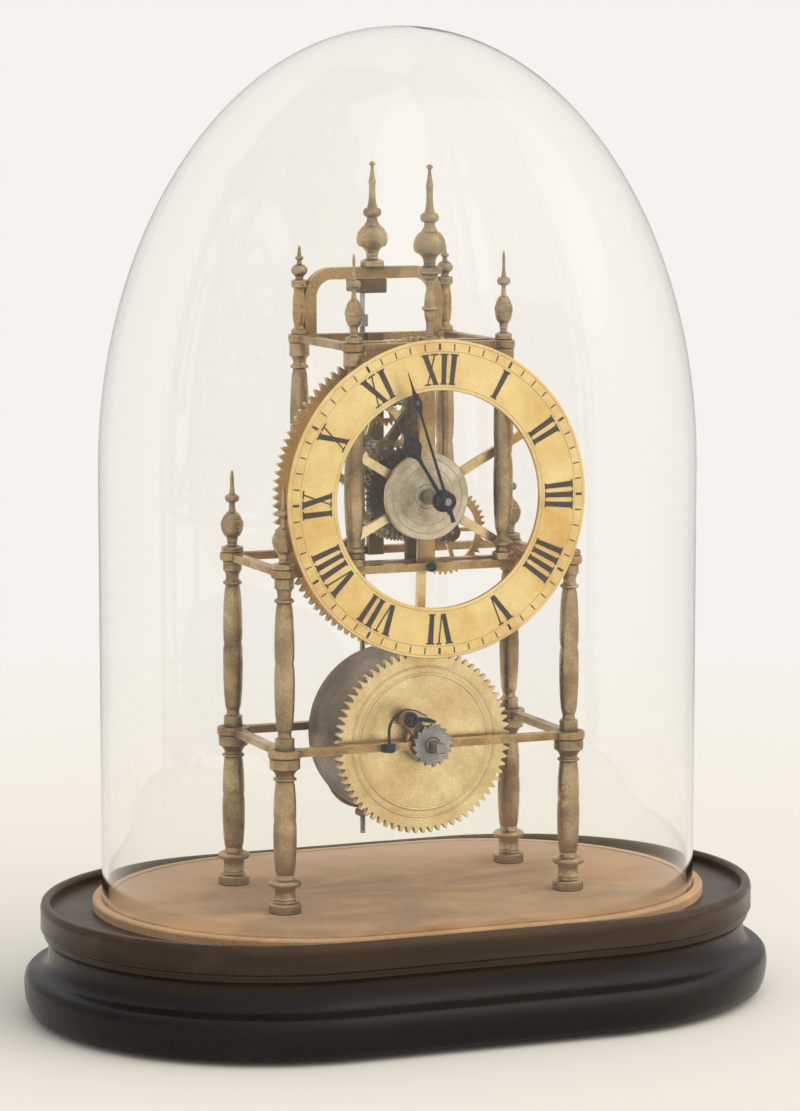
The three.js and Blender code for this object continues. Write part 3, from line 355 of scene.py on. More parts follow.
woodLook = {
    "black": (0.0050, 0.0034, 0.0022), "brown": (0.014, 0.008, 0.004), "worn": (0.080, 0.055, 0.034),
    "paintedTopLight": (0.100, 0.056, 0.027), "paintedTopLightFrom": 0.45, "paintedTopLightShare": 0.8,
    "grainScale": 34.0, "stretch": (0.14, 1.0, 1.6), "twist": 1.4, "poreFineness": 22,
    "edge": 0.0014, "edgeBreaks": 160.0, "wear": 0.55, "patch": 22.0, "fleck": 300.0, "rough": (0.2, 0.38),
    "dust": 0.07, "dustScale": 180.0, "dustColour": (0.24, 0.22, 0.20), "dustRoughness": 0.9,
    "bump": 0.1, "reliefDepth": 0.0005,
}


def makeEbonisedWood():
    look = woodLook
    material, tree, shader = startMaterial("ebonised_wood")
    where = onObject(tree)
    laid = addNode(tree, "ShaderNodeMapping", {"Vector": where, "Scale": look["stretch"]})
    warp = noise(tree, laid, look["grainScale"], 5.0, distortion=look["twist"])
    pores = noise(tree, laid, look["grainScale"] * look["poreFineness"], 3.0)
    grain = clamped(tree, ("MULTIPLY", ("SUBTRACT", warp, 0.42), 2.4), 0.8)
    worn = useGroup(tree, edgeWearGroup, Edge_Width=look["edge"], Break_Scale=look["edgeBreaks"],
                    Amount=look["wear"])
    dust = useGroup(tree, dustGroup, Amount=look["dust"], Scale=look["dustScale"])
    stained = blendColours(tree, grain, look["black"], look["brown"])
    # painted light: from part way up, the plinth is painted browner and lighter toward its rim, while the
    # foot keeps its black
    low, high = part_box("plinth")
    rise = addNode(tree, "ShaderNodeSeparateXYZ", {0: where}).outputs["Z"]
    paintedTopLight = mapped(tree, rise, low.z + (high.z - low.z) * look["paintedTopLightFrom"], high.z, look["paintedTopLightShare"])
    paintedTopLightMask = calc(tree, "MULTIPLY", paintedTopLight, ("MULTIPLY_ADD", grain, 0.6, 0.5))
    stained = blendColours(tree, paintedTopLightMask, stained, look["paintedTopLight"])
    rubbed = blendColours(tree, worn, stained, look["worn"])
    smooth, dull = look["rough"]
    tone = useGroup(tree, toneGroup, Patch_Scale=look["patch"], Fleck_Scale=look["fleck"])
    uneven = calc(tree, "MULTIPLY_ADD", tone, dull - smooth, smooth)
    relief = calc(tree, "MULTIPLY_ADD", warp, 0.5, pores)
    setShader(tree, shader, {
        "Base Color": blendColours(tree, dust, rubbed, look["dustColour"]),
        "Roughness": ("MULTIPLY_ADD", dust, look["dustRoughness"], uneven),
        "Normal": bumped(tree, relief, look["bump"], look["reliefDepth"]),
        "Coat Weight": 0.08, "Coat Roughness": 0.15, "Specular IOR Level": 0.18,
    })
    return material


velvetLook = {
    "pile": (0.65, 0.33, 0.13), "shade": (0.25, 0.12, 0.036), "olive": (0.40, 0.245, 0.085),
    "faded": (0.90, 0.615, 0.40), "fadedPatch": 11.0, "fadedFleck": 420.0, "fadedShare": 0.4,
    "patch": 16.0, "combed": (1.0, 2.2, 1.0), "dyeScale": 24.0, "fibre": 1150.0, "fibreShade": 0.34,
    "dust": 0.10, "dustScale": 500.0, "dustColour": (0.62, 0.54, 0.44), "bump": 0.5, "reliefDepth": 0.0004,
    "halfSize": (0.130, 0.090), "paintedShadeCentre": (-0.05, 0.42), "paintedShadeFrom": 0.5, "paintedShadeTo": 1.35,
    "paintedLightAtEnds": 0.62,
}


def makeVelvet():
    look = velvetLook
    material, tree, shader = startMaterial("velvet")
    where = onObject(tree)
    combed = addNode(tree, "ShaderNodeMapping", {"Vector": where, "Scale": look["combed"]})
    nap = noise(tree, combed, look["patch"], 3.0, distortion=0.8)
    fibre = noise(tree, where, look["fibre"], 2.0)
    faded = useGroup(tree, toneGroup, Patch_Scale=look["fadedPatch"], Fleck_Scale=look["fadedFleck"],
                     Contrast=1.3)
    # painted shade and light: the pad is kept darker in its middle, where the clock shades it, and painted
    # lighter toward its back and its ends
    halfX, halfY = look["halfSize"]
    flat = addNode(tree, "ShaderNodeMapping", {
        "Vector": where, "Scale": (1 / halfX, 1 / halfY, 0.0), "Location": (*look["paintedShadeCentre"], 0.0),
    })
    rim = mapped(tree, vectorCalc(tree, "LENGTH", flat), look["paintedShadeFrom"], look["paintedShadeTo"], look["paintedLightAtEnds"],
                 interpolation_type="SMOOTHSTEP")
    dust = useGroup(tree, dustGroup, Amount=look["dust"], Scale=look["dustScale"])
    brushed = clamped(tree, ("MULTIPLY", ("SUBTRACT", nap, 0.36), 3.6))
    dyed = mapped(tree, noise(tree, where, look["dyeScale"], 2.0, distortion=1.5), 0.42, 0.62)
    pile = blendColours(tree, brushed, look["shade"], blendColours(tree, dyed, look["pile"], look["olive"]))
    # the faded colour comes in with random fading patches and with the painted light toward the back and ends
    fadedAndPaintedLight = blendColours(tree, ("MULTIPLY_ADD", faded, look["fadedShare"], rim), pile, look["faded"])
    dusty = blendColours(tree, dust, fadedAndPaintedLight, look["dustColour"])
    relief = calc(tree, "MULTIPLY_ADD", nap, 2.0, fibre)
    setShader(tree, shader, {
        "Base Color": blendColours(tree, ("MULTIPLY", fibre, look["fibreShade"]), dusty, look["shade"]),
        "Normal": bumped(tree, relief, look["bump"], look["reliefDepth"]),
        "Roughness": 0.95, "Sheen Weight": 0.3, "Sheen Roughness": 0.4, "Sheen Tint": (1.0, 0.8, 0.6),
        "Specular IOR Level": 0.2,
    })
    return material


glassLook = {"tint": (0.993, 0.995, 0.978), "shadowTint": (0.97, 0.975, 0.965), "bend": 1.4, "haze": 0.02,
             "patch": 9.0, "waves": 12.0, "waveBump": 0.05, "waveDepth": 0.002}


def makeClearGlass():
    look = glassLook
    material, tree, shader = startMaterial("clear_glass")
    tone = useGroup(tree, toneGroup, Patch_Scale=look["patch"], Fleck_Scale=300.0, Contrast=0.8)
    waves = noise(tree, onObject(tree), look["waves"], 1.0)
    setShader(tree, shader, {
        "Roughness": ("MULTIPLY", tone, look["haze"]),
        "Normal": bumped(tree, waves, look["waveBump"], look["waveDepth"]),
        "Base Color": look["tint"], "Transmission Weight": 1.0, "IOR": look["bend"],
    })
    clear = addNode(tree, "ShaderNodeBsdfTransparent", {"Color": look["shadowTint"]})
    isShadow = addNode(tree, "ShaderNodeLightPath").outputs["Is Shadow Ray"]
    mixed = addNode(tree, "ShaderNodeMixShader", {0: isShadow, 1: shader, 2: clear})
    setSocket(tree, tree.nodes["Material Output"].inputs["Surface"], mixed)
    return material


waxLook = {"dark": (0.012, 0.009, 0.007), "worn": (0.05, 0.032, 0.02), "patch": 160.0, "fleck": 2000.0}


def makeBlackWax():
    look = waxLook
    material, tree, shader = startMaterial("numeral_wax")
    tone = useGroup(tree, toneGroup, Patch_Scale=look["patch"], Fleck_Scale=look["fleck"], Contrast=1.2)
    setShader(tree, shader, {
        "Base Color": blendColours(tree, tone, look["dark"], look["worn"]),
        "Roughness": ("MULTIPLY_ADD", tone, 0.3, 0.35),
    })
    return material


materials = {name: makeMetal(name, kind, node) for name, (kind, node) in facedMetals.items()}
for name in ("old_brass", "turned_brass", "painted_shade_brass", "polished_steel", "blued_steel"):
    materials[name] = makeMetal(name, name)
materials.update(ebonised_wood=makeEbonisedWood(), velvet=makeVelvet(), clear_glass=makeClearGlass(),
                 numeral_wax=makeBlackWax())
print("materials made:", len(materials))


# mesh helpers: outlines are in millimetres, meshes in metres

def span(node):
    low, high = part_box(node)
    return low / mm, high / mm


def middle(node):
    low, high = span(node)
    return (low + high) / 2


def outward(bm):
    bmesh.ops.remove_doubles(bm, verts=bm.verts, dist=0.00001)
    bmesh.ops.recalc_face_normals(bm, faces=bm.faces)


def curvedOutline(rows, steps=8):
    # rows are (radius, height, bulge): bulge bends the stretch that ends there, 0.5 into a half round
    outline = [Vector(rows[0][:2])]
    for (r0, z0, _), (r1, z1, bulge) in zip(rows, rows[1:]):
        start, end = Vector((r0, z0)), Vector((r1, z1))
        if bulge:
            half = (end - start) / 2
            across = Vector((half.y, -half.x)) * 2 * bulge
            for i in range(1, steps):
                turn = math.pi * i / steps
                outline.append(start + half * (1 - math.cos(turn)) + across * math.sin(turn))
        outline.append(end)
    return outline


def turnInto(bm, outline, sides, centre, toFront=False):
    # a closed turning about Z, or about Y for what sits on an arbor
    rings = []
    for radius, height in outline:
        count = sides if radius > 1e-6 else 1
        ring = []
        for i in range(count):
            angle = 2 * math.pi * i / sides
            x, y = radius * math.cos(angle), radius * math.sin(angle)
            place = Vector((x, height, -y)) if toFront else Vector((x, y, height))
            ring.append(bm.verts.new((place + centre) * mm))
        rings.append(ring)
    for low, high in zip(rings, rings[1:]):
        for i in range(sides):
            j = (i + 1) % sides
            corners = [low[i % len(low)], low[j % len(low)], high[j % len(high)], high[i % len(high)]]
            kept = list(dict.fromkeys(corners))
            if len(kept) > 2:
                bm.faces.new(kept)


def closedRows(rows):
    # carries a profile to the axis at both ends
    return [(0, rows[0][1], 0)] + list(rows) + [(0, rows[-1][1], 0)]


def boredRows(rows, bore, start=None):
    # closes a profile round a bore, from its first row's height or from a given one
    start = rows[0][1] if start is None else start
    return [(bore, start, 0)] + list(rows) + [(bore, rows[-1][1], 0), (bore, start, 0)]


def turnedMesh(bm, rows, centre, sides=48, toFront=False, bore=0, steps=8, start=None):
    full = boredRows(rows, bore, start) if bore else closedRows(rows)
    turnInto(bm, curvedOutline(full, steps), sides, Vector(centre), toFront)


def flatInto(bm, loops, front, thickness, centre=(0, 0)):
    # a plate that faces the front, its outline and holes in X and Z
    edges = []
    for loop in loops:
        ring = [bm.verts.new(Vector((x + centre[0], front, z + centre[1])) * mm) for x, z in loop]
        edges += [bm.edges.new((a, b)) for a, b in zip(ring, ring[1:] + ring[:1])]
    filled = bmesh.ops.triangle_fill(bm, edges=edges, use_beauty=True)
    faces = [item for item in filled["geom"] if isinstance(item, bmesh.types.BMFace)]
    copied = bmesh.ops.extrude_face_region(bm, geom=faces, use_keep_orig=True)
    moved = [item for item in copied["geom"] if isinstance(item, bmesh.types.BMVert)]
    bmesh.ops.translate(bm, verts=moved, vec=Vector((0, thickness * mm, 0)))


def boxInto(bm, low, high):
    made = bmesh.ops.create_cube(bm, size=1.0)
    size = (Vector(high) - Vector(low)) * mm
    bmesh.ops.scale(bm, verts=made["verts"], vec=size)
    bmesh.ops.translate(bm, verts=made["verts"], vec=(Vector(high) + Vector(low)) / 2 * mm)


def roundLoop(radius, sides, centre=(0, 0)):
    return [(centre[0] + radius * math.cos(2 * math.pi * i / sides),
             centre[1] + radius * math.sin(2 * math.pi * i / sides)) for i in range(sides)]


def oblongLoop(width, depth, height, steps=40):
    radius, straight = depth / 2, (width - depth) / 2
    ring = []
    for side in (1, -1):
        for i in range(steps + 1):
            angle = math.pi * (i / steps - 0.5) + (math.pi if side < 0 else 0)
            across = side * straight + radius * math.cos(angle)
            ring.append(Vector((across, radius * math.sin(angle), height)))
    return ring


def smoothLine(points, steps):
    # a curve through every point, evenly stepped between each two
    points = [Vector(point) for point in points]
    ends = [points[0] * 2 - points[1]] + points + [points[-1] * 2 - points[-2]]
    line = []
    for a, b, c, d in zip(ends, ends[1:], ends[2:], ends[3:]):
        for i in range(steps):
            t = i / steps
            line.append(0.5 * (2 * b + (c - a) * t + (2 * a - 5 * b + 4 * c - d) * t * t
                               + (3 * b - a - 3 * c + d) * t ** 3))
    return line + [points[-1]]


def loftInto(bm, rings):
    made = [[bm.verts.new(point * mm) for point in ring] for ring in rings]
    count = len(made[0])
    for low, high in zip(made, made[1:]):
        for i in range(count):
            j = (i + 1) % count
            bm.faces.new((low[i], low[j], high[j], high[i]))
    bm.faces.new(made[0][::-1])
    bm.faces.new(made[-1])


def standing(bm, name):
    # turns the work mesh into an object of its own
    outward(bm)
    mesh = bpy.data.meshes.new(name)
    bm.to_mesh(mesh)
    bm.free()
    piece = bpy.data.objects.new(name, mesh)
    bpy.context.collection.objects.link(piece)
    return piece


def cutWith(bm, cutter):
    # takes one closed mesh out of another and hands the rest back
    holders = [standing(part, "cut part") for part in (bm, cutter)]
    modifier = holders[0].modifiers.new("cut", "BOOLEAN")
    modifier.operation, modifier.solver, modifier.object = "DIFFERENCE", "EXACT", holders[1]
    shown = holders[0].evaluated_get(bpy.context.evaluated_depsgraph_get())
    made = bmesh.new()
    made.from_mesh(shown.to_mesh())
    shown.to_mesh_clear()
    for holder in holders:
        bpy.data.objects.remove(holder)
    return made


def finishPiece(bm, name, material, body, nodes=(), bevel=0.0, crease=30):
    return dressPiece(standing(bm, name), material, body, nodes, bevel, crease)


def dressPiece(piece, material, body, nodes, bevel, crease=35):
    mesh = piece.data
    if not mesh.materials:
        mesh.materials.append(materials[material])
    mesh.shade_smooth()
    mesh.set_sharp_from_angle(angle=math.radians(crease))
    if bevel:
        rounded = piece.modifiers.new("rounded edges", "BEVEL")
        rounded.width = bevel * mm
        rounded.segments = 2
        rounded.limit_method = "ANGLE"
        rounded.angle_limit = math.radians(32)
        rounded.harden_normals = True
    if body:
        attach(piece, body)
    if nodes:
        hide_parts(*nodes)
    return piece


# geometry nodes: a crossed-out toothed wheel, screws, and marks round a ring

def polarPlace(tree, radius, angle):
    return addNode(tree, "ShaderNodeCombineXYZ", {
        "X": ("MULTIPLY", radius, ("COSINE", angle)),
        "Y": ("MULTIPLY", radius, ("SINE", angle)),
    })


def vector(tree, **parts):
    return addNode(tree, "ShaderNodeCombineXYZ", parts)


def joined(tree, parts):
    made = addNode(tree, "GeometryNodeJoinGeometry")
    for part in parts:
        setSocket(tree, made.inputs[0], part)
    return made


def startTree(name, values, takesPoints=False):
    tree = bpy.data.node_groups.new(name, "GeometryNodeTree")
    if takesPoints:
        tree.interface.new_socket("Geometry", in_out="INPUT", socket_type="NodeSocketGeometry")
    return tree, addInputs(tree, dict(values, Material=None))


def endTree(tree, geometry, source, faced=True):
    # stands the shape up to face the front at its place, makes it real and paints it
    if faced:
        geometry = addNode(tree, "GeometryNodeTransform", {
            "Geometry": geometry, "Rotation": (math.pi / 2, 0, 0), "Translation": source["Place"],
        })
    real = addNode(tree, "GeometryNodeRealizeInstances", {"Geometry": geometry})
    painted = addNode(tree, "GeometryNodeSetMaterial", {"Geometry": real, "Material": source["Material"]})
    tree.interface.new_socket("Geometry", in_out="OUTPUT", socket_type="NodeSocketGeometry")
    setSocket(tree, tree.nodes.new("NodeGroupOutput").inputs[0], painted)
    return tree


def makeWheelTree():
    tree, source = startTree("toothed wheel", {
        "Teeth": 60, "Tip Radius": 0.02, "Root Radius": 0.018, "Tip Share": 0.08, "Root Share": 0.3,
        "Phase": 0.0, "Window Radius": 0.015, "Arms": 5, "Arm Width": 0.002, "Hub Radius": 0.004,
        "Bore": 0.001, "Thickness": 0.002, "Place": (0, 0, 0),
    })
    index = addNode(tree, "GeometryNodeInputIndex")

    # four corners to a tooth: two at its root and two at its tip
    ring = addNode(tree, "GeometryNodeMeshCircle", {"Vertices": ("MULTIPLY", source["Teeth"], 4.0)})
    tooth = calc(tree, "FLOOR", ("DIVIDE", index, 4.0))
    corner = calc(tree, "SUBTRACT", index, ("MULTIPLY", tooth, 4.0))
    off = calc(tree, "SUBTRACT", corner, 1.5)
    isTip = calc(tree, "LESS_THAN", ("ABSOLUTE", off), 1.0)
    share = calc(tree, "MULTIPLY_ADD", isTip, ("SUBTRACT", source["Tip Share"], source["Root Share"]),
                 source["Root Share"])
    turns = calc(tree, "MULTIPLY_ADD", ("SIGN", off), share, tooth)
    angle = calc(tree, "MULTIPLY_ADD", ("DIVIDE", turns, source["Teeth"]), 2 * math.pi, source["Phase"])
    depth = calc(tree, "SUBTRACT", source["Tip Radius"], source["Root Radius"])
    radius = calc(tree, "MULTIPLY_ADD", isTip, depth, source["Root Radius"])
    toothed = addNode(tree, "GeometryNodeSetPosition", {
        "Geometry": ring, "Position": polarPlace(tree, radius, angle),
    })
    outline = addNode(tree, "GeometryNodeMeshToCurve", {"Mesh": toothed})
    bore = addNode(tree, "GeometryNodeCurvePrimitiveCircle", {"Resolution": 32, "Radius": source["Bore"]})

    # one window between two arms: an arc under the rim and one round the hub, then turned once for each arm
    arcSteps = 12
    pane = addNode(tree, "GeometryNodeMeshCircle", {"Vertices": 2 * arcSteps})
    isInner = calc(tree, "GREATER_THAN", index, arcSteps - 0.5)
    along = calc(tree, "DIVIDE", ("SUBTRACT", index, ("MULTIPLY", isInner, float(arcSteps))),
                 arcSteps - 1.0)
    reach = calc(tree, "SUBTRACT", source["Hub Radius"], source["Window Radius"])
    paneRadius = calc(tree, "MULTIPLY_ADD", isInner, reach, source["Window Radius"])
    inset = calc(tree, "ARCSINE", ("DIVIDE", ("MULTIPLY", source["Arm Width"], 0.5), paneRadius))
    sector = calc(tree, "DIVIDE", 2 * math.pi, source["Arms"])
    back = calc(tree, "SUBTRACT", 1.0, ("MULTIPLY", along, 2.0))
    forward = calc(tree, "MULTIPLY_ADD", isInner, back, along)
    opening = calc(tree, "SUBTRACT", sector, ("MULTIPLY", inset, 2.0))
    paneAngle = calc(tree, "MULTIPLY_ADD", forward, opening, inset)
    shaped = addNode(tree, "GeometryNodeSetPosition", {
        "Geometry": pane, "Position": polarPlace(tree, paneRadius, paneAngle),
    })
    panes = addNode(tree, "GeometryNodeInstanceOnPoints", {
        "Points": addNode(tree, "GeometryNodePoints", {"Count": source["Arms"]}),
        "Instance": shaped,
        "Rotation": vector(tree, Z=("ADD", ("MULTIPLY", index, sector), source["Phase"])),
    })
    windows = addNode(tree, "GeometryNodeMeshToCurve", {
        "Mesh": addNode(tree, "GeometryNodeRealizeInstances", {"Geometry": panes}),
    })

    loops = joined(tree, (windows, bore, outline))
    face = addNode(tree, "GeometryNodeFillCurve", {"Curve": loops})
    raised = addNode(tree, "GeometryNodeExtrudeMesh", {
        "Mesh": face, "Offset Scale": source["Thickness"], "Individual": False,
    })
    under = addNode(tree, "GeometryNodeFlipFaces", {"Mesh": face})
    body = joined(tree, (raised, under))
    whole = addNode(tree, "GeometryNodeMergeByDistance", {"Geometry": body, "Distance": 0.000005})
    return endTree(tree, whole, source)


def makeScrewTree():
    tree, source = startTree("slotted screws", {
        "Head Radius": 0.0018, "Head Height": 0.0012, "Slot Width": 0.0005, "Seed": 3,
    }, takesPoints=True)
    head = addNode(tree, "GeometryNodeMeshCylinder", {
        "Vertices": 28, "Radius": source["Head Radius"], "Depth": source["Head Height"],
    })
    size = vector(tree, X=("MULTIPLY", source["Head Radius"], 3.0), Y=source["Slot Width"],
                  Z=source["Head Height"])
    cutter = addNode(tree, "GeometryNodeTransform", {
        "Geometry": addNode(tree, "GeometryNodeMeshCube", {"Size": size}),
        "Translation": vector(tree, Z=("MULTIPLY", source["Head Height"], 0.6)),
    })
    slotted = addNode(tree, "GeometryNodeMeshBoolean", {"Mesh 1": head, "Mesh 2": cutter},
                      operation="DIFFERENCE")
    turned = {"Seed": source["Seed"], 2: 0.0, 3: math.pi}
    spin = addNode(tree, "FunctionNodeRandomValue", turned, data_type="FLOAT")
    placed = addNode(tree, "GeometryNodeInstanceOnPoints", {
        "Points": source["Geometry"], "Instance": slotted,
        "Rotation": vector(tree, X=math.pi / 2, Y=spin.outputs[1]),
    })
    return endTree(tree, placed, source, faced=False)


def makeMarkTree():
    tree, source = startTree("marks round a ring", {
        "Count": 60, "Radius": 0.06, "Length": 0.002, "Width": 0.0004, "Every": 5.0, "Longer": 1.6,
        "Thickness": 0.0002, "Place": (0, 0, 0),
    })
    index = addNode(tree, "GeometryNodeInputIndex")
    size = vector(tree, X=source["Length"], Y=source["Width"], Z=source["Thickness"])
    angle = calc(tree, "MULTIPLY", ("DIVIDE", index, source["Count"]), 2 * math.pi)
    points = addNode(tree, "GeometryNodePoints", {
        "Count": source["Count"], "Position": polarPlace(tree, source["Radius"], angle),
    })
    isLong = calc(tree, "LESS_THAN", ("MODULO", index, source["Every"]), 0.5)
    longer = calc(tree, "MULTIPLY_ADD", isLong, ("SUBTRACT", source["Longer"], 1.0), 1.0)
    marks = addNode(tree, "GeometryNodeInstanceOnPoints", {
        "Points": points, "Instance": addNode(tree, "GeometryNodeMeshCube", {"Size": size}),
        "Rotation": vector(tree, Z=angle), "Scale": vector(tree, X=1.0, Y=longer, Z=1.0),
    })
    return endTree(tree, marks, source)


wheelTree = makeWheelTree()
screwTree = makeScrewTree()
markTree = makeMarkTree()


def growPiece(name, tree, values, material, body, nodes=(), bevel=0.0, points=()):
    # runs a tree on a few points and keeps its result as a plain mesh
    mesh = bpy.data.meshes.new(name + " points")
    mesh.from_pydata([Vector(point) * mm for point in points], [], [])
    holder = bpy.data.objects.new(name + " points", mesh)
    bpy.context.collection.objects.link(holder)
    modifier = holder.modifiers.new("grow", "NODES")
    modifier.node_group = tree
    values = dict(values, Material=materials[material])
    for item in tree.interface.items_tree:
        if item.in_out == "INPUT" and item.name in values:
            modifier[item.identifier] = values[item.name]
    shown = holder.evaluated_get(bpy.context.evaluated_depsgraph_get())
    grown = bpy.data.meshes.new_from_object(shown)
    holder.modifiers.remove(modifier)
    bpy.data.objects.remove(holder)
    grown.name = name
    piece = bpy.data.objects.new(name, grown)
    bpy.context.collection.objects.link(piece)
    return dressPiece(piece, material, body, nodes, bevel)


print("trees made")


# base and dome

plinthLook = {
    "rows": [   # inset from the widest outline, height, bulge of the stretch that ends there
        (2.8, 0.0, 0), (1.4, 15.2, 0.13), (2.2, 15.9, 0), (6.0, 16.6, 0), (6.5, 17.0, 0),
        (8.4, 29.6, -0.2), (8.4, 32.0, 0), (7.0, 33.6, 0.25), (7.0, 40.0, 0), (7.3, 42.6, 0.1),
        (8.4, 43.85, 0.2), (9.4, 44.0, 0.05), (10.6, 43.6, 0.1), (11.4, 42.2, 0.1), (11.5, 40.05, 0),
    ],
    # shares of the foot's radius, and heights
    "footRows": [(0.74, 0.0, 0), (0.9, 0.4, 0), (1.0, 1.5, 0.12), (0.9, 2.6, 0.12), (0.76, 3.0, 0.1)],
}
platformLook = {
    "rows": [
        (0.0, 0.0, 0), (0.0, 2.9, 0), (0.35, 3.65, 0.1), (1.1, 4.0, 0.1), (3.2, 4.0, 0), (3.7, 3.6, 0.15),
        (3.7, 2.0, 0), (6.8, 2.0, 0), (6.8, 3.6, 0), (7.3, 4.0, 0.15),
    ],
}
domeLook = {"wall": 2.5, "crown": 180.0, "crownSteps": 30, "crownEnd": 89.4, "endSteps": 48, "footRound": 0.8,
            "footSteps": 6, "closeRings": (0.9, 1.3, 3.0)}
corners = ("front_left", "front_right", "back_left", "back_right")


def oblongPiece(name, node, rows, material, body):
    low, high = span(node)
    width, depth = (high - low).x, (high - low).y
    bm = bmesh.new()
    profile = curvedOutline([(-inset, low.z + height, bulge) for inset, height, bulge in rows], 6)
    loftInto(bm, [oblongLoop(width + 2 * point.x, depth + 2 * point.x, point.y) for point in profile])
    return finishPiece(bm, name, material, body, [node], crease=40)


def feet():
    bm = bmesh.new()
    for corner in corners:
        low, high = span("foot_" + corner)
        radius = (high - low).x / 2
        rows = [(radius * share, low.z + height, bulge) for share, height, bulge in plinthLook["footRows"]]
        turnedMesh(bm, rows, middle("foot_" + corner) * Vector((1, 1, 0)), 40)
    finishPiece(bm, "bun_feet", "ebonised_wood", "frame", ["foot_" + corner for corner in corners], crease=35)


def glassDome():
    low, high = span("glass_dome")
    width, depth = (high - low).x, (high - low).y
    look = domeLook

    def ringAt(inset, height, share=1.0):
        return oblongLoop((width - 2 * inset) * share, (depth - 2 * inset) * share, height, look["endSteps"])

    def wall(inset):
        crown, top = look["crown"] - inset, high.z - inset
        # rings close above the rounded foot keep its curve out of the tall straight wall
        rings = [ringAt(inset, low.z + height) for height in look["closeRings"]]
        for i in range(look["crownSteps"]):
            angle = math.radians(look["crownEnd"]) * i / (look["crownSteps"] - 1)
            rings.append(ringAt(inset, top - crown + crown * math.sin(angle), math.cos(angle)))
        return rings

    half = look["wall"] / 2
    rim = []
    for i in range(look["footSteps"] + 1):
        angle = math.pi * i / look["footSteps"]
        rim.append(ringAt(half + half * math.cos(angle), low.z + look["footRound"] * (1 - math.sin(angle))))
    bm = bmesh.new()
    loftInto(bm, wall(look["wall"])[::-1] + rim + wall(0.0))
    finishPiece(bm, "blown_dome", "clear_glass", "glass_dome", ["glass_dome"], crease=60)


oblongPiece("moulded_plinth", "plinth", plinthLook["rows"], "ebonised_wood", "frame")
oblongPiece("velvet_pad", "platform", platformLook["rows"], "velvet", "frame")
feet()
glassDome()
print("base and dome made")


# pillars, finials and spires: rows are (radius share, height share, bulge)

pillarRows = {
    "lower": [
        (0.95, 0, 0), (1, 0.012, 0.2), (1, 0.052, 0), (0.94, 0.064, 0.2), (0.76, 0.07, 0), (0.7, 0.092, -0.2),
        (0.66, 0.15, -0.06), (0.66, 0.166, 0), (0.84, 0.17, 0), (0.84, 0.214, 0.45), (0.66, 0.218, 0),
        (0.56, 0.25, -0.12), (0.67, 0.6, 0.03), (0.56, 0.85, 0.03), (0.64, 0.856, 0), (0.64, 0.874, 0.5),
        (0.58, 0.88, 0), (0.9, 0.93, -0.14), (0.95, 0.94, 0.2), (0.95, 0.99, 0), (0.9, 1, 0.2),
    ],
    "middle": [
        (1, 0, 0), (1, 0.05, 0), (0.93, 0.062, 0.2), (0.78, 0.066, 0), (0.74, 0.1, -0.12), (0.93, 0.5, 0.03),
        (0.74, 0.85, 0.03), (0.84, 0.856, 0), (0.84, 0.878, 0.5), (0.76, 0.884, 0), (0.97, 0.94, -0.14),
        (1, 0.95, 0.2), (1, 0.99, 0), (0.95, 1, 0.2),
    ],
    "upper": [
        (0.96, 0, 0), (1, 0.006, 0.2), (1, 0.026, 0), (0.94, 0.033, 0.2), (0.74, 0.038, 0), (0.7, 0.06, -0.1),
        (0.84, 0.064, 0), (0.84, 0.084, 0.4), (0.7, 0.09, 0), (0.62, 0.125, -0.12), (0.75, 0.5, 0.03),
        (0.61, 0.87, 0.03), (0.72, 0.876, 0), (0.72, 0.892, 0.5), (0.63, 0.9, 0), (0.92, 0.935, -0.14),
        (0.96, 0.945, 0.2), (0.96, 0.99, 0), (0.9, 1, 0.2),
    ],
    "finial": [
        (0.94, 0, 0), (1, 0.02, 0.2), (1, 0.05, 0), (0.9, 0.07, 0.2), (0.55, 0.085, 0), (0.5, 0.13, -0.25),
        (0.6, 0.19, -0.1), (0.66, 0.2, 0), (0.98, 0.3, 0.1), (0.9, 0.4, 0.14), (0.42, 0.49, 0.1),
        (0.32, 0.52, -0.1), (0.3, 0.61, -0.05), (0.3, 0.71, 0.5), (0.27, 0.73, 0), (0.19, 0.9, -0.03),
        (0.09, 0.99, 0.02), (0.0001, 1, 0.2),
    ],
    "spire": [
        (0.72, 0, 0), (0.76, 0.014, 0.2), (0.76, 0.045, 0), (0.66, 0.06, 0.2), (0.42, 0.075, 0),
        (0.4, 0.11, -0.2), (0.84, 0.19, -0.18), (0.88, 0.2, 0.2), (0.98, 0.28, 0.14), (0.6, 0.38, 0.12),
        (0.34, 0.45, -0.08), (0.34, 0.47, 0), (0.34, 0.56, 0.42), (0.3, 0.58, 0), (0.24, 0.8, -0.04),
        (0.24, 0.81, 0), (0.1, 0.96, -0.03), (0.12, 0.99, 0.5), (0.0001, 1, 0.3),
    ],
    "stem": [
        (0.94, 0, 0), (1, 0.012, 0.2), (1, 0.05, 0), (0.9, 0.065, 0.2), (0.55, 0.08, 0), (0.46, 0.12, -0.2),
        (0.42, 0.3, -0.04), (0.58, 0.44, 0.05), (0.66, 0.46, 0), (0.66, 0.52, 0.5), (0.58, 0.54, 0),
        (0.44, 0.72, 0.04), (0.5, 0.88, -0.06), (0.9, 0.94, -0.14), (0.92, 0.99, 0.1), (0.86, 1, 0),
    ],
}
pillarLook = {
    "lowerRadius": 6.5, "waist": 3.9, "lowerSpigot": 2.4, "upperRadius": 4.4, "upperSpigot": 1.8,
    "lower_finial": 4.6, "upper_finial": 3.4, "spire": 6.5, "stem": 3.6, "washer": 0.3,
}
barHeight = 3.5
levels = {"lower_frame": middle("great_wheel").z, "middle_frame": middle("middle_frame").z,
          "upper_frame": middle("upper_frame").z}
archHigh = span("back_arch")[1]


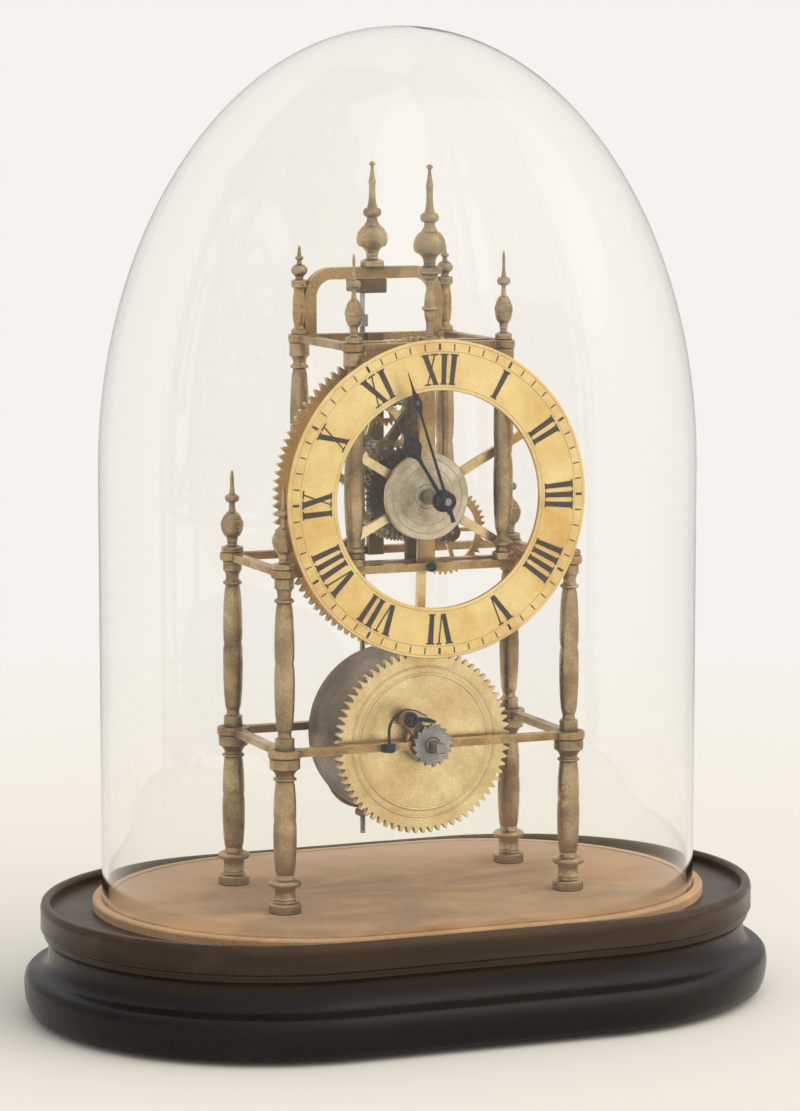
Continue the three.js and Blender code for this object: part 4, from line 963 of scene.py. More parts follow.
def under(tier):
    return levels[tier] - barHeight / 2


def over(tier):
    return levels[tier] + barHeight / 2


def rowsBetween(kind, radius, foot, top):
    return [(radius * r, foot + (top - foot) * h, bulge) for r, h, bulge in pillarRows[kind]]


def turnedPiece(node, rows, sides=40):
    centre = middle(node)
    bm = bmesh.new()
    turnedMesh(bm, rows, (centre.x, centre.y, 0), sides, steps=6)
    finishPiece(bm, "turned_" + node, "turned_brass", "frame", [node], crease=28)


def pillars():
    look = pillarLook
    first, second, third = under("lower_frame"), under("middle_frame"), under("upper_frame")
    for corner in corners:
        low, high = span("lower_pillar_" + corner)
        middleFoot = over("lower_frame") + look["washer"]
        turnedPiece("lower_pillar_" + corner, [
            *rowsBetween("lower", look["lowerRadius"], low.z, first),
            (look["waist"], first, 0), (look["waist"], middleFoot, 0),
            *rowsBetween("middle", look["waist"], middleFoot, second),
            (look["lowerSpigot"], second, 0), (look["lowerSpigot"], high.z, 0),
        ])
        low, high = span("upper_pillar_" + corner)
        turnedPiece("upper_pillar_" + corner, [
            *rowsBetween("upper", look["upperRadius"], low.z, third),
            (look["upperSpigot"], third, 0), (look["upperSpigot"], high.z, 0),
        ])
        for kind in ("lower_finial", "upper_finial"):
            low, high = span(f"{kind}_{corner}")
            turnedPiece(f"{kind}_{corner}", rowsBetween("finial", look[kind], low.z, high.z))
    low, high = span("back_spire")
    turnedPiece("back_spire", rowsBetween("spire", look["spire"], low.z, high.z))
    low, high = span("front_spire")
    turnedPiece("front_spire", rowsBetween("stem", look["stem"], low.z, archHigh.z)
                + rowsBetween("spire", look["spire"], archHigh.z, high.z))


pillars()
print("pillars made")


# tier frames, arch and plates

frameLook = {
    "bar": 4.0, "edge": 0.45, "thinner": 0.12, "eyeWall": 2.6, "bossWall": 2.6, "barrelBore": 3.3,
    "crossBarY": -17.0, "clickReach": 9.0, "clickRise": 10.5, "lobe": 3.6, "lobeRound": 0.4,
    "pinBore": 1.4, "webInset": 0.15, "webStart": 1.3, "webEnd": 1.9, "webHalf": 2.8,
}
dialCentre = middle("hour_wheel")
barrelCentre = middle("great_wheel")


def eyeRows(bore, half, wall):
    outer = bore + wall
    return discRows(outer, -half, half, 0.8) + [
        (outer - 1.3, half, 0), (outer - 1.45, half - 0.2, 0), (outer - 1.6, half, 0),
    ]


def discRows(radius, front, back, step=0.35):
    return [(radius - step, front, 0), (radius, front + step, 0.2), (radius, back - step, 0),
            (radius - step, back, 0.2)]


def tierFrame(name, node, pillar, bore, crossBar=True, boss=False):
    corner = middle(pillar + "_front_left")
    halfX, halfY = abs(corner.x), abs(corner.y)
    bar = frameLook["bar"] / 2
    bottom, top = under(node) + frameLook["thinner"], over(node) - frameLook["thinner"]
    bm = bmesh.new()
    for side in (-1, 1):
        boxInto(bm, (-halfX, side * halfY - bar, bottom), (halfX, side * halfY + bar, top))
        boxInto(bm, (side * halfX - bar, -halfY, bottom + 0.05), (side * halfX + bar, halfY, top - 0.05))
        for end in (-1, 1):
            turnedMesh(bm, eyeRows(bore, barHeight / 2, frameLook["eyeWall"]),
                       (side * halfX, end * halfY, levels[node]), 32, bore=bore, steps=4)
    if crossBar:
        place = frameLook["crossBarY"]
        boxInto(bm, (-halfX, place - bar, bottom + 0.1), (halfX, place + bar, top - 0.1))
    if boss:
        bossInto(bm, levels[node], halfY)
    finishPiece(bm, name, "old_brass", "frame", [node], bevel=frameLook["edge"])


def bossInto(bm, height, halfY):
    # the barrel arbor's two bosses, and the lobe that carries the click
    look = frameLook
    half, bore = look["bar"] / 2, look["barrelBore"]
    rows = eyeRows(bore, half, look["bossWall"])
    for side in (-1, 1):
        turned = [(r, -h, -bulge) for r, h, bulge in rows] if side < 0 else rows
        turnedMesh(bm, turned, (0, side * halfY, height), 32, True, bore, 4)
    lobe = Vector((-look["clickReach"], -halfY, height + look["clickRise"]))
    turnedMesh(bm, discRows(look["lobe"], -half, half, look["lobeRound"]), lobe, 28, True, look["pinBore"], 4)
    along = Vector((lobe.x, lobe.z - height))
    across = Vector((-along.y, along.x)).normalized()
    start, end = along.normalized() * (bore + look["webStart"]), along - along.normalized() * look["webEnd"]
    web = [start - across * bore, start + across * bore, end + across * look["webHalf"],
           end - across * look["webHalf"]]
    flatInto(bm, [web], -halfY - half + look["webInset"], 2 * (half - look["webInset"]), (0, height))


tierFrame("first_tier_frame", "lower_frame", "lower_pillar", 4.2, crossBar=False, boss=True)
tierFrame("second_tier_frame", "middle_frame", "lower_pillar", 2.7)
tierFrame("third_tier_frame", "upper_frame", "upper_pillar", 2.1)

archLook = {
    "bar": 5.0, "round": 12.0, "inset": 2.0, "steps": 14, "edge": 0.5, "post": 3.4, "postHeight": 21.25,
    # shares of the post's radius, heights from its foot or down from its top, bulges
    "postFoot": [(0.95, 0, 0), (1, 0.4, 0.2), (1, 1.8, 0), (0.72, 2.4, 0), (0.66, 4, -0.1)],
    "postTop": [(0.66, 4, 0.05), (0.72, 2.4, 0), (1, 1.8, -0.1), (1, 0.4, 0), (0.95, 0, 0.2)],
}


def archLoop(outset):
    top = archHigh.z - outset
    half = abs(middle("upper_pillar_back_left").x) - archLook["inset"] - outset
    radius = archLook["round"] - outset
    right = [(half, over("upper_frame"))]
    for i in range(archLook["steps"] + 1):
        angle = math.pi / 2 * i / archLook["steps"]
        right.append((half - radius + radius * math.cos(angle), top - radius + radius * math.sin(angle)))
    return right + [(-x, z) for x, z in right[::-1]]


def backArch():
    look = archLook
    pillar = middle("upper_pillar_back_left")
    half = frameLook["bar"] / 2
    bm = bmesh.new()
    flatInto(bm, [archLoop(0) + archLoop(look["bar"])[::-1]], pillar.y - half, 2 * half)
    radius, foot = look["post"], over("upper_frame")
    top = foot + look["postHeight"]
    rows = [(radius * share, foot + up, bulge) for share, up, bulge in look["postFoot"]]
    rows.append((radius * 0.8, (foot + top) / 2, 0.05))
    rows += [(radius * share, top - down, bulge) for share, down, bulge in look["postTop"]]
    for side in (-1, 1):
        turnedMesh(bm, rows, (side * abs(pillar.x), pillar.y, 0), 32, steps=5)
    finishPiece(bm, "arched_bar", "old_brass", "frame", ["back_arch"], bevel=look["edge"])


backArch()

plateLook = {
    "strip": 7.0, "arm": 4.2, "armInset": 0.06, "boss": 5.0, "pivotBoss": 3.6, "pipeBore": 3.1,
    "pivotBore": 1.1, "backPalletBore": 1.5, "edge": 0.35, "clearOfPivot": 2.4, "clearOfCentre": 3.9,
}
discLook = {
    "radius": 18.0, "proud": 0.02, "frontRound": (0.6, 0.5), "backRound": 0.3,
    # radii where a groove starts, is deepest and ends, and its depth
    "grooves": [(4.6, 5.0, 5.2, 0.15), (8.0, 8.15, 8.3, 0.12), (11.5, 11.65, 11.8, 0.12),
                (15.0, 15.15, 15.3, 0.12)],
}
# where each turning body has its arbor, by the body's name
arborAt = {joint["child"]: Vector(joint["pos_m"]) / mm for joint in frame["joints"] if "pos_m" in joint}


def stripLoop(start, end, width):
    across = Vector((start[1] - end[1], end[0] - start[0])).normalized() * width / 2
    return [(start[0] + across.x, start[1] + across.y), (start[0] - across.x, start[1] - across.y),
            (end[0] - across.x, end[1] - across.y), (end[0] + across.x, end[1] + across.y)]


def plateInto(bm, node, bore=0, arms=(), pivots=()):
    look = plateLook
    low, high = span(node)
    front, back = low.y, high.y
    holes = [roundLoop(hole, 28, place) for place, hole in pivots if abs(place[0]) < 0.1]
    if bore:
        holes.append(roundLoop(bore, 40, (0, dialCentre.z)))
    outline = stripLoop((0, under("middle_frame")), (0, over("upper_frame")), look["strip"])
    flatInto(bm, [outline, *holes], front, back - front)
    if bore:
        boss = discRows(look["boss"], front - 0.02, back + 0.02)
        turnedMesh(bm, boss, (0, 0, dialCentre.z), 40, True, bore, 4)
    for start, end in arms:
        # an arm stops short of the bores at its two ends
        start, end = Vector(start), Vector(end)
        along = (end - start).normalized()
        clear = look["clearOfCentre"] if abs(end.y - dialCentre.z) < 0.1 else look["clearOfPivot"]
        arm = stripLoop(start + along * look["clearOfPivot"], end - along * clear, look["arm"])
        flatInto(bm, [arm], front + look["armInset"], back - front - 2 * look["armInset"])
    for (x, z), hole in pivots:
        turnedMesh(bm, discRows(look["pivotBoss"], front - 0.03, back + 0.03), (x, 0, z), 28, True, hole, 4)


def plates():
    def at(name):
        return (arborAt[name].x, arborAt[name].z)

    look = plateLook
    centre, pallets, small = (0, dialCentre.z), (0, arborAt["pallets"].z), look["pivotBore"]
    arms = [(at("set"), centre), (at("third"), centre), (at("third"), at("escape"))]
    pivots = [(at("set"), small), (at("third"), small), (at("escape"), small)]
    middlePivots = pivots + [(pallets, small)]
    backPivots = pivots + [(pallets, look["backPalletBore"])]
    # the middle and back strips take the darker brass of painted shade
    for place, material, *details in (
            ("front", "old_brass"), ("middle", "painted_shade_brass", look["pipeBore"], arms, middlePivots),
            ("back", "painted_shade_brass", small, arms, backPivots)):
        bm = bmesh.new()
        plateInto(bm, place + "_plate", *details)
        finishPiece(bm, place + "_strip", material, "frame", [place + "_plate"], bevel=look["edge"])


def silveredDisc():
    look = discLook
    low, high = span("front_plate")
    radius, face = look["radius"], low.y - look["proud"]
    inset, depth = look["frontRound"]
    rows = []
    for near, bottom, far, cut in look["grooves"]:
        rows += [(near, face, 0), (bottom, low.y + cut, 0), (far, face, 0)]
    rows += [(radius - inset, face, 0), (radius, low.y + depth, 0.2), (radius, high.y - look["backRound"], 0),
             (radius - look["backRound"], high.y + look["proud"], 0.2)]
    bm = bmesh.new()
    turnedMesh(bm, rows, (0, 0, dialCentre.z), 72, True, plateLook["pipeBore"], 4)
    finishPiece(bm, "silvered_disc", "silvered", "frame", ["front_plate"], crease=25)


plates()
silveredDisc()
print("frames and plates made")


# dial: a flat ring with engraved circles, filled numerals and a minute track

dialLook = {
    "inner": 44.0, "outer": 64.5, "thickness": 2.0, "edge": 0.4,
    "grooves": (45.4, 59.6, 63.3), "grooveWidth": 0.32, "grooveDepth": 0.16,
    "numeralMiddle": 52.6, "numeralHeight": 12.4, "thick": 2.1, "thin": 0.55, "gap": 0.75, "serif": 0.55,
    "serifReach": 0.5, "letterV": 6.6, "letterX": 6.8, "proud": 0.1, "wax": 0.3,
    "layer": 0.004,   # strokes that cross lie this far apart
    "footRadius": 1.8, "footInset": {"middle_frame": 10.25, "upper_frame": 2.8},
    "marks": {"Count": 60, "Radius": 61.5 * mm, "Length": 2.6 * mm, "Width": 0.42 * mm, "Every": 5.0,
              "Longer": 2.3, "Thickness": 0.2 * mm},
}


def dialRing():
    low, _ = span("dial_ring")
    look = dialLook
    front, back = low.y, low.y + look["thickness"]
    inner, outer, edge = look["inner"], look["outer"], look["edge"]
    rows = [(inner, front + edge, 0), (inner + edge, front, 0.2)]
    for groove in look["grooves"]:
        half, bottom = look["grooveWidth"] / 2, front + look["grooveDepth"]
        rows += [(groove - half, front, 0), (groove, bottom, 0), (groove + half, front, 0)]
    rows += [(outer - edge, front, 0), (outer, front + edge, 0.2), (outer, back - 0.3, 0),
             (outer - 0.3, back, 0.1)]
    bm = bmesh.new()
    turnedMesh(bm, rows, (0, 0, dialCentre.z), 144, True, inner, 4, back)
    # four feet stand on the front bars of the two upper tiers
    frontBar, radius = middle("lower_pillar_front_left").y - frameLook["bar"] / 2, look["footRadius"]
    foot = [(radius, back - 0.4, 0), (radius, back + 0.8, 0), (radius * 0.7, back + 1.4, -0.2),
            (radius * 0.7, frontBar - 1.4, 0), (radius, frontBar - 0.8, -0.2), (radius, frontBar, 0)]
    for tier, inset in look["footInset"].items():
        rise = levels[tier] - dialCentre.z
        spread = math.sqrt(max((outer - inset) ** 2 - rise ** 2, radius ** 2))
        for side in (-1, 1):
            turnedMesh(bm, foot, (side * spread, 0, levels[tier]), 24, True, steps=4)
    finishPiece(bm, "engraved_ring", "dial_gilt", "frame", ["dial_ring"], crease=25)


def slant(u0, u1, v0, v1, width):
    return [(u0 - width / 2, v0), (u0 + width / 2, v0), (u1 + width / 2, v1), (u1 - width / 2, v1)]


def letterStrokes(letter, at):
    # strokes of one capital, feet toward the centre; returns them with the capital's width
    look = dialLook
    half, thick, thin, serif = look["numeralHeight"] / 2, look["thick"], look["thin"], look["serif"]
    low, high = -half + serif, half - serif
    reach = look["serifReach"]

    def bars(u0, u1, ends):
        return [[(u0, end), (u1, end), (u1, end + serif), (u0, end + serif)] for end in ends]

    if letter == "I":
        width = thick + 1.1
        centre = at + width / 2
        return [slant(centre, centre, low, high, thick)] + bars(at, at + width, (-half, high)), width
    if letter == "V":
        width = look["letterV"]
        left, right, foot = at + thick / 2 + reach, at + width - 1.0, at + width / 2 + 0.3
        strokes = [slant(foot - 0.2, left, -half, high, thick),
                   slant(foot + thick / 2 - 0.4, right, -half, high, thin)]
        strokes += bars(at, left + thick / 2 + reach, (high,)) + bars(right - 1.1, at + width, (high,))
        return strokes, width
    width = look["letterX"]
    left, right = at + thick / 2 + reach, at + width - thick / 2 - reach
    strokes = [slant(right, left, low, high, thick), slant(left, right, low, high, thin)]
    for u in (left, right):
        strokes += bars(u - thick / 2 - reach, u + thick / 2 + reach, (-half, high))
    return strokes, width


def numerals():
    names = ("I", "II", "III", "IIII", "V", "VI", "VII", "VIII", "IX", "X", "XI", "XII")
    low, _ = span("dial_ring")
    bm = bmesh.new()
    for hour, letters in enumerate(names, 1):
        shapes, at = [], 0.0
        for letter in letters:
            strokes, width = letterStrokes(letter, at)
            shapes += strokes
            at += width + dialLook["gap"]
        shift = (at - dialLook["gap"]) / 2
        middleAngle = math.pi / 2 - math.pi * hour / 6
        for count, stroke in enumerate(shapes):
            front = low.y - dialLook["proud"] - dialLook["layer"] * (count % 3)
            loop = []
            for u, v in stroke:
                angle = middleAngle - (u - shift) / dialLook["numeralMiddle"]
                radius = dialLook["numeralMiddle"] + v
                loop.append((radius * math.cos(angle), radius * math.sin(angle)))
            flatInto(bm, [loop], front, dialLook["wax"], (0, dialCentre.z))
    finishPiece(bm, "filled_numerals", "numeral_wax", "frame")
    values = dict(dialLook["marks"], Place=Vector((0, low.y, dialCentre.z)) * mm)
    growPiece("minute_track", markTree, values, "numeral_wax", "frame")


dialRing()
numerals()
print("dial made")


# toothed wheels: sizes in millimetres, shares of a tooth's pitch

toothShares = {
    # height above the pitch circle and depth below it in modules, half widths at tip and root in pitches
    "wheel": (0.7, 1.6, 0.09, 0.4), "fine": (0.7, 1.6, 0.03, 0.42), "leaf": (0.6, 1.2, 0.1, 0.2),
}
greatTeeth, hourTeeth, minuteTeeth, thirdTeeth, setTeeth, gearTeeth = 70, 120, 84, 77, 45, 48
greatModule = 2 * (dialCentre.z - barrelCentre.z) / (greatTeeth + hourTeeth)
trainModule, motionModule = 0.5, 0.8


def meshed(teeth, start, end, neighbourTeeth, neighbourPhase):
    toward = math.atan2(end.z - start.z, end.x - start.x)
    share = (toward - neighbourPhase) * neighbourTeeth / (2 * math.pi)
    return toward + math.pi - (0.5 - share) * 2 * math.pi / teeth


wheelLook = {
    "great_wheel": {"teeth": greatTeeth, "module": greatModule, "kind": "wheel", "arms": 0, "armWidth": 3.0,
                    "phase": math.pi / 2, "hub": 6.0, "bore": 4.3, "rim": 5.0, "body": "barrel",
                    "bevel": 0.12},
    "hour_wheel": {"teeth": hourTeeth, "module": greatModule, "kind": "wheel", "arms": 6, "armWidth": 3.6,
                   "phase": meshed(hourTeeth, barrelCentre, dialCentre, greatTeeth, math.pi / 2),
                   "hub": 12.0, "bore": 3.1, "rim": 6.5, "body": "hour", "bevel": 0.12},
}
smallWheel = {"kind": "fine", "phase": 0.0, "arms": 5, "armWidth": 1.6, "hub": 3.4, "bore": 1.25, "rim": 2.4,
              "bevel": 0.06, "module": trainModule}
wheelLook["set_wheel"] = dict(smallWheel, teeth=setTeeth, module=motionModule, body="set")
wheelLook["centre_wheel"] = dict(smallWheel, teeth=minuteTeeth, bore=1.55, body="centre")
wheelLook["third_wheel"] = dict(smallWheel, teeth=thirdTeeth, body="third")
solidGear = {"arms": 0, "armWidth": 1.0}


def toothedPiece(name, look, place, thickness, material, nodes=()):
    above, below, tip, root = toothShares[look["kind"]]
    pitchRadius = look["teeth"] * look["module"] / 2
    rootRadius = pitchRadius - below * look["module"]
    values = {
        "Teeth": look["teeth"], "Tip Radius": (pitchRadius + above * look["module"]) * mm,
        "Root Radius": rootRadius * mm, "Tip Share": tip, "Root Share": root, "Phase": look["phase"],
        "Window Radius": (rootRadius - look["rim"]) * mm, "Arms": look["arms"],
        "Arm Width": look["armWidth"] * mm, "Hub Radius": look["hub"] * mm, "Bore": look["bore"] * mm,
        "Thickness": thickness * mm, "Place": place * mm,
    }
    return growPiece(name, wheelTree, values, material, look["body"], nodes, look["bevel"], [(0, 0, 0)])


def trainWheels():
    metals = {"great_wheel": "wheel_brass_low", "third_wheel": "wheel_brass_third",
              "set_wheel": "wheel_brass_set"}
    for node, look in wheelLook.items():
        low, high = span(node)
        place = Vector((arborAt[look["body"]].x, high.y, arborAt[look["body"]].z))
        metal = metals.get(node, "wheel_brass_high")
        toothedPiece("cut_" + node, look, place, high.y - low.y, metal, [node])


def windowLoops(arms, hub, rim, armWidth, steps=10):
    loops = []
    for k in range(arms):
        start, end = 2 * math.pi * k / arms, 2 * math.pi * (k + 1) / arms
        outerInset, innerInset = math.asin(armWidth / 2 / rim), math.asin(armWidth / 2 / hub)
        loop = []
        for i in range(steps + 1):
            angle = start + outerInset + (end - start - 2 * outerInset) * i / steps
            loop.append((rim * math.cos(angle), rim * math.sin(angle)))
        for i in range(steps // 2 + 1):
            angle = end - innerInset - (end - start - 2 * innerInset) * i / (steps // 2)
            loop.append((hub * math.cos(angle), hub * math.sin(angle)))
        loops.append(loop)
    return loops


escapeLook = {
    "teeth": 30, "radius": 11.0, "depth": 1.7, "rim": 7.7, "hub": 3.4, "arms": 5, "arm": 1.6, "bore": 1.25,
    # place along one tooth's pitch, and depth as a share
    "tooth": [(0.0, 1.0), (0.2, 0.62), (0.42, 0.0), (0.5, 0.0), (0.62, 0.7), (0.8, 1.0)],
}


def cutRim(teeth, radius, depth, tooth):
    # the outline of a rim whose teeth follow rows of (share of the pitch, share of the depth)
    outline = []
    for i in range(teeth):
        for share, cut in tooth:
            angle, reach = (i + share) * (2 * math.pi / teeth), radius - cut * depth
            outline.append((reach * math.cos(angle), reach * math.sin(angle)))
    return outline


def escapeWheel():
    look = escapeLook
    low, high = span("escape_wheel")
    loops = [cutRim(look["teeth"], look["radius"], look["depth"], look["tooth"]), roundLoop(look["bore"], 24),
             *windowLoops(look["arms"], look["hub"], look["rim"], look["arm"])]
    bm = bmesh.new()
    flatInto(bm, loops, low.y, high.y - low.y, (arborAt["escape"].x, arborAt["escape"].z))
    finishPiece(bm, "cut_escape_wheel", "old_brass", "escape", ["escape_wheel"], bevel=0.05)


trainWheels()
escapeWheel()
print("wheels made")


# arbors: rows are (radius, place along the arbor, bulge), front to back

def arborMesh(bm, rows, x, z, sides=28):
    turnedMesh(bm, rows, (x, 0, z), sides, True, steps=5)


arborLook = {"pivot": 0.8, "play": 0.3, "leafWidth": 3.0, "colletWall": 1.3, "colletWidth": 1.0,
             "colletEnd": 1.6, "endRound": 0.25, "endShare": 0.7}


def shaftRows(radius, pivot, front, shoulderFront, shoulderBack, back, collet):
    look = arborLook
    reach, small, tip = radius + look["colletWall"], look["endRound"], pivot * look["endShare"]
    return [
        (tip, front, 0), (pivot, front + small, 0.2), (pivot, shoulderFront, 0), (radius, shoulderFront, 0),
        (radius, collet, 0), (reach, collet, 0), (reach, collet + look["colletWidth"], 0.1),
        (radius, collet + look["colletEnd"], -0.2), (radius, shoulderBack, 0), (pivot, shoulderBack, 0),
        (pivot, back - small, 0), (tip, back, 0.2),
    ]


# each pinion gears with the wheel of the arbor named first, which has that many teeth
pinionLook = {
    "set_arbor": {"arbor": "set", "teeth": 12, "module": motionModule,
                  "neighbour": ("centre", "set", gearTeeth), "place": -9.5, "collet": -4.9, "radius": 1.2},
    "centre_arbor": {"arbor": "centre", "teeth": 15, "module": motionModule,
                     "neighbour": ("set", "centre", setTeeth), "place": -5.75, "collet": 0.1, "radius": 1.5},
    "third_arbor": {"arbor": "third", "teeth": 7, "module": trainModule,
                    "neighbour": ("centre", "third", minuteTeeth), "place": -0.75, "collet": 8.1,
                    "radius": 1.2},
    "escape_arbor": {"arbor": "escape", "teeth": 7, "module": trainModule,
                     "neighbour": ("third", "escape", thirdTeeth), "place": 7.25, "collet": 16.1,
                     "radius": 1.2},
}


def pinionedArbors():
    pivot, play = arborLook["pivot"], arborLook["play"]
    shoulders = span("middle_plate")[1].y + play, span("back_plate")[0].y - play
    for node, look in pinionLook.items():
        low, high = span(node)
        centre, radius = arborAt[look["arbor"]], look["radius"]
        if node == "centre_arbor":   # it runs on to the front, to carry the minute hand
            rows = shaftRows(radius, radius * 0.9, low.y, low.y + 0.5, shoulders[1], high.y, look["collet"])
            rows[-3:] = [(pivot, shoulders[1], 0), (pivot, high.y - 0.25, 0), (0.55, high.y, 0.2)]
        else:
            rows = shaftRows(radius, pivot, low.y, *shoulders, high.y, look["collet"])
        bm = bmesh.new()
        arborMesh(bm, rows, centre.x, centre.z)
        finishPiece(bm, "shaft_" + node, "polished_steel", look["arbor"], [node], crease=28)
        start, end, neighbourTeeth = look["neighbour"]
        phase = meshed(look["teeth"], arborAt[start], arborAt[end], neighbourTeeth, 0.0)
        gear = dict(solidGear, kind="leaf", phase=phase, hub=1.0, bore=radius * 0.8, rim=0.5, bevel=0.05,
                    body=look["arbor"], teeth=look["teeth"], module=look["module"])
        width = arborLook["leafWidth"]
        place = Vector((centre.x, look["place"] + width / 2, centre.z))
        toothedPiece("leaves_" + node, gear, place, width, "polished_steel")


barrelLook = {
    "wall": 2.0, "bore": 4.3, "sideInset": 0.05, "frontRound": 0.3,
    "rings": (9.0, 12.0, 24.0, 27.0), "ringDepth": 0.3, "ringHalf": 0.3,
    "beads": (1.6, 2.6, -2.8, -1.8),   # from the front edge, or from the back one where negative
    "beadDepth": 0.4, "beadWidth": 0.5,
    # insets from the radius, depths from the back, bulges
    "backEdge": [(0.05, 0.4, 0), (0.45, 0, 0.2), (2.2, 0, 0), (2.6, 0.3, 0), (3.0, 0, 0)],
    "square": 4.0, "squareLength": 9.0, "shoulder": 28.7,
    "arborRadii": (3.0, 4.0, 8.0, 3.6),   # pivots, arbor, the spring's hub, waist
}


def barrelDrum():
    look = barrelLook
    low, high = span("barrel_drum")
    radius, wall, bore = (high - low).x / 2, look["wall"], look["bore"]
    front, back = low.y, high.y
    side, inside, small = radius - look["sideInset"], back - wall, look["frontRound"]
    rows = [(bore, inside, 0), (radius - wall, inside, 0), (radius - wall, front, 0),
            (radius - small, front, 0), (side, front + small, 0.2)]
    for place in look["beads"]:
        start = place + (back if place < 0 else front)
        rows += [(side, start, 0), (radius - look["beadDepth"], start + look["beadWidth"] / 2, 0),
                 (side, start + look["beadWidth"], 0)]
    rows += [(radius - inset, back - down, bulge) for inset, down, bulge in look["backEdge"]]
    for ring in look["rings"][::-1]:
        rows += [(ring + look["ringHalf"], back, 0), (ring, back - look["ringDepth"], 0),
                 (ring - look["ringHalf"], back, 0)]
    bm = bmesh.new()
    turnInto(bm, curvedOutline(rows + [(bore, back, 0), (bore, inside, 0)], 4), 120,
             Vector((0, 0, barrelCentre.z)), True)
    # the drum takes the darker brass of painted shade
    finishPiece(bm, "turned_drum", "painted_shade_brass", "barrel", ["barrel_drum"], crease=25)


coverLook = {   # turned mouldings on the great wheel's front; rows are set out from that front
    "collar": [(4.4, 0.3, 0), (4.4, -0.9, 0), (4.8, -1.2, 0.2), (7.2, -1.2, 0), (7.8, -0.8, 0.2),
               (7.8, -0.2, 0), (8.6, -0.12, -0.2), (11.4, -0.12, 0), (11.6, 0.3, 0), (4.4, 0.3, 0)],
    "beads": ((27.6, 28.6), (30.9, 31.5)), "beadFoot": 0.2, "beadEdge": -0.1, "beadTop": -0.22,
}


def greatWheelFace():
    look = coverLook
    front = span("great_wheel")[0].y
    profiles = [(look["collar"], 5, 72)]
    foot, edge, top = look["beadFoot"], look["beadEdge"], look["beadTop"]
    for inner, outer in look["beads"]:
        bead = [(inner, foot, 0), (inner, edge, 0), ((inner + outer) / 2, top, 0.1), (outer, edge, 0.1),
                (outer, foot, 0), (inner, foot, 0)]
        profiles.append((bead, 4, 120))
    bm = bmesh.new()
    for rows, steps, sides in profiles:
        outline = curvedOutline([(r, front + y, bulge) for r, y, bulge in rows], steps)
        turnInto(bm, outline, sides, Vector((0, 0, barrelCentre.z)), True)
    finishPiece(bm, "barrel_cover_mouldings", "wheel_brass_low", "barrel", crease=25)


def barrelArbor():
    low, high = span("barrel_arbor")
    nose = low.y + barrelLook["squareLength"]
    drumLow, drumHigh = span("barrel_drum")
    hubFront, hubBack = drumLow.y + 0.6, drumHigh.y - barrelLook["wall"] - 0.6
    shoulder = barrelLook["shoulder"]   # the pivots' shoulders, both ways from the middle of the frame
    pivot, thick, hub, waist = barrelLook["arborRadii"]
    rows = [(2.2, nose, 0), (pivot, nose + 0.5, 0.15), (pivot, -shoulder, 0), (thick, -shoulder, 0),
            (thick, hubFront, 0), (hub, hubFront, 0), (hub, hubBack, 0), (thick, hubBack, 0),
            (thick, drumHigh.y + 3.0, 0), (waist, drumHigh.y + 4.0, 0), (waist, shoulder - 2.7, 0),
            (thick, shoulder - 1.7, 0), (thick, shoulder, 0), (pivot, shoulder, 0), (pivot, high.y - 0.5, 0),
            (2.4, high.y, 0.15)]
    bm = bmesh.new()
    arborMesh(bm, rows, 0, barrelCentre.z, 36)
    half, square = barrelLook["square"] / 2, ((-1, -1), (1, -1), (1, 1), (-1, 1))
    loftInto(bm, [[Vector((x * size, y, barrelCentre.z + z * size)) for x, z in square]
                  for y, size in ((low.y, half - 0.5), (low.y + 0.6, half), (nose + 0.4, half))])
    finishPiece(bm, "winding_arbor_shaft", "polished_steel", "winding_arbor", ["barrel_arbor"], bevel=0.12)


ratchetLook = {
    "teeth": 16, "radius": 9.0, "depth": 1.6, "bore": 3.3,
    "tooth": [(0.0, 0.0), (0.3, 0.38), (0.62, 0.72), (0.94, 1.0)],
}
clickLook = {
    # the nose's gap and width, the heel's place along the arm and width there, the arm's width at the pin
    "noseGap": 0.3, "nose": 0.9, "heel": (3.0, 1.9), "arm": 1.8, "inset": 0.05, "thickness": 1.9,
    "eye": [(2.2, 0, 0), (2.6, 0.4, 0.15), (2.6, 1.8, 0), (2.3, 2.0, 0.1)], "pin": 1.05, "pinEnd": 0.9,
}


def ratchet():
    look = ratchetLook
    low, high = span("ratchet_wheel")
    rim = cutRim(look["teeth"], look["radius"], look["depth"], look["tooth"])
    bm = bmesh.new()
    flatInto(bm, [rim, roundLoop(look["bore"], 40)], low.y, high.y - low.y, (0, barrelCentre.z))
    finishPiece(bm, "cut_ratchet", "polished_steel", "winding_arbor", ["ratchet_wheel"], bevel=0.15)


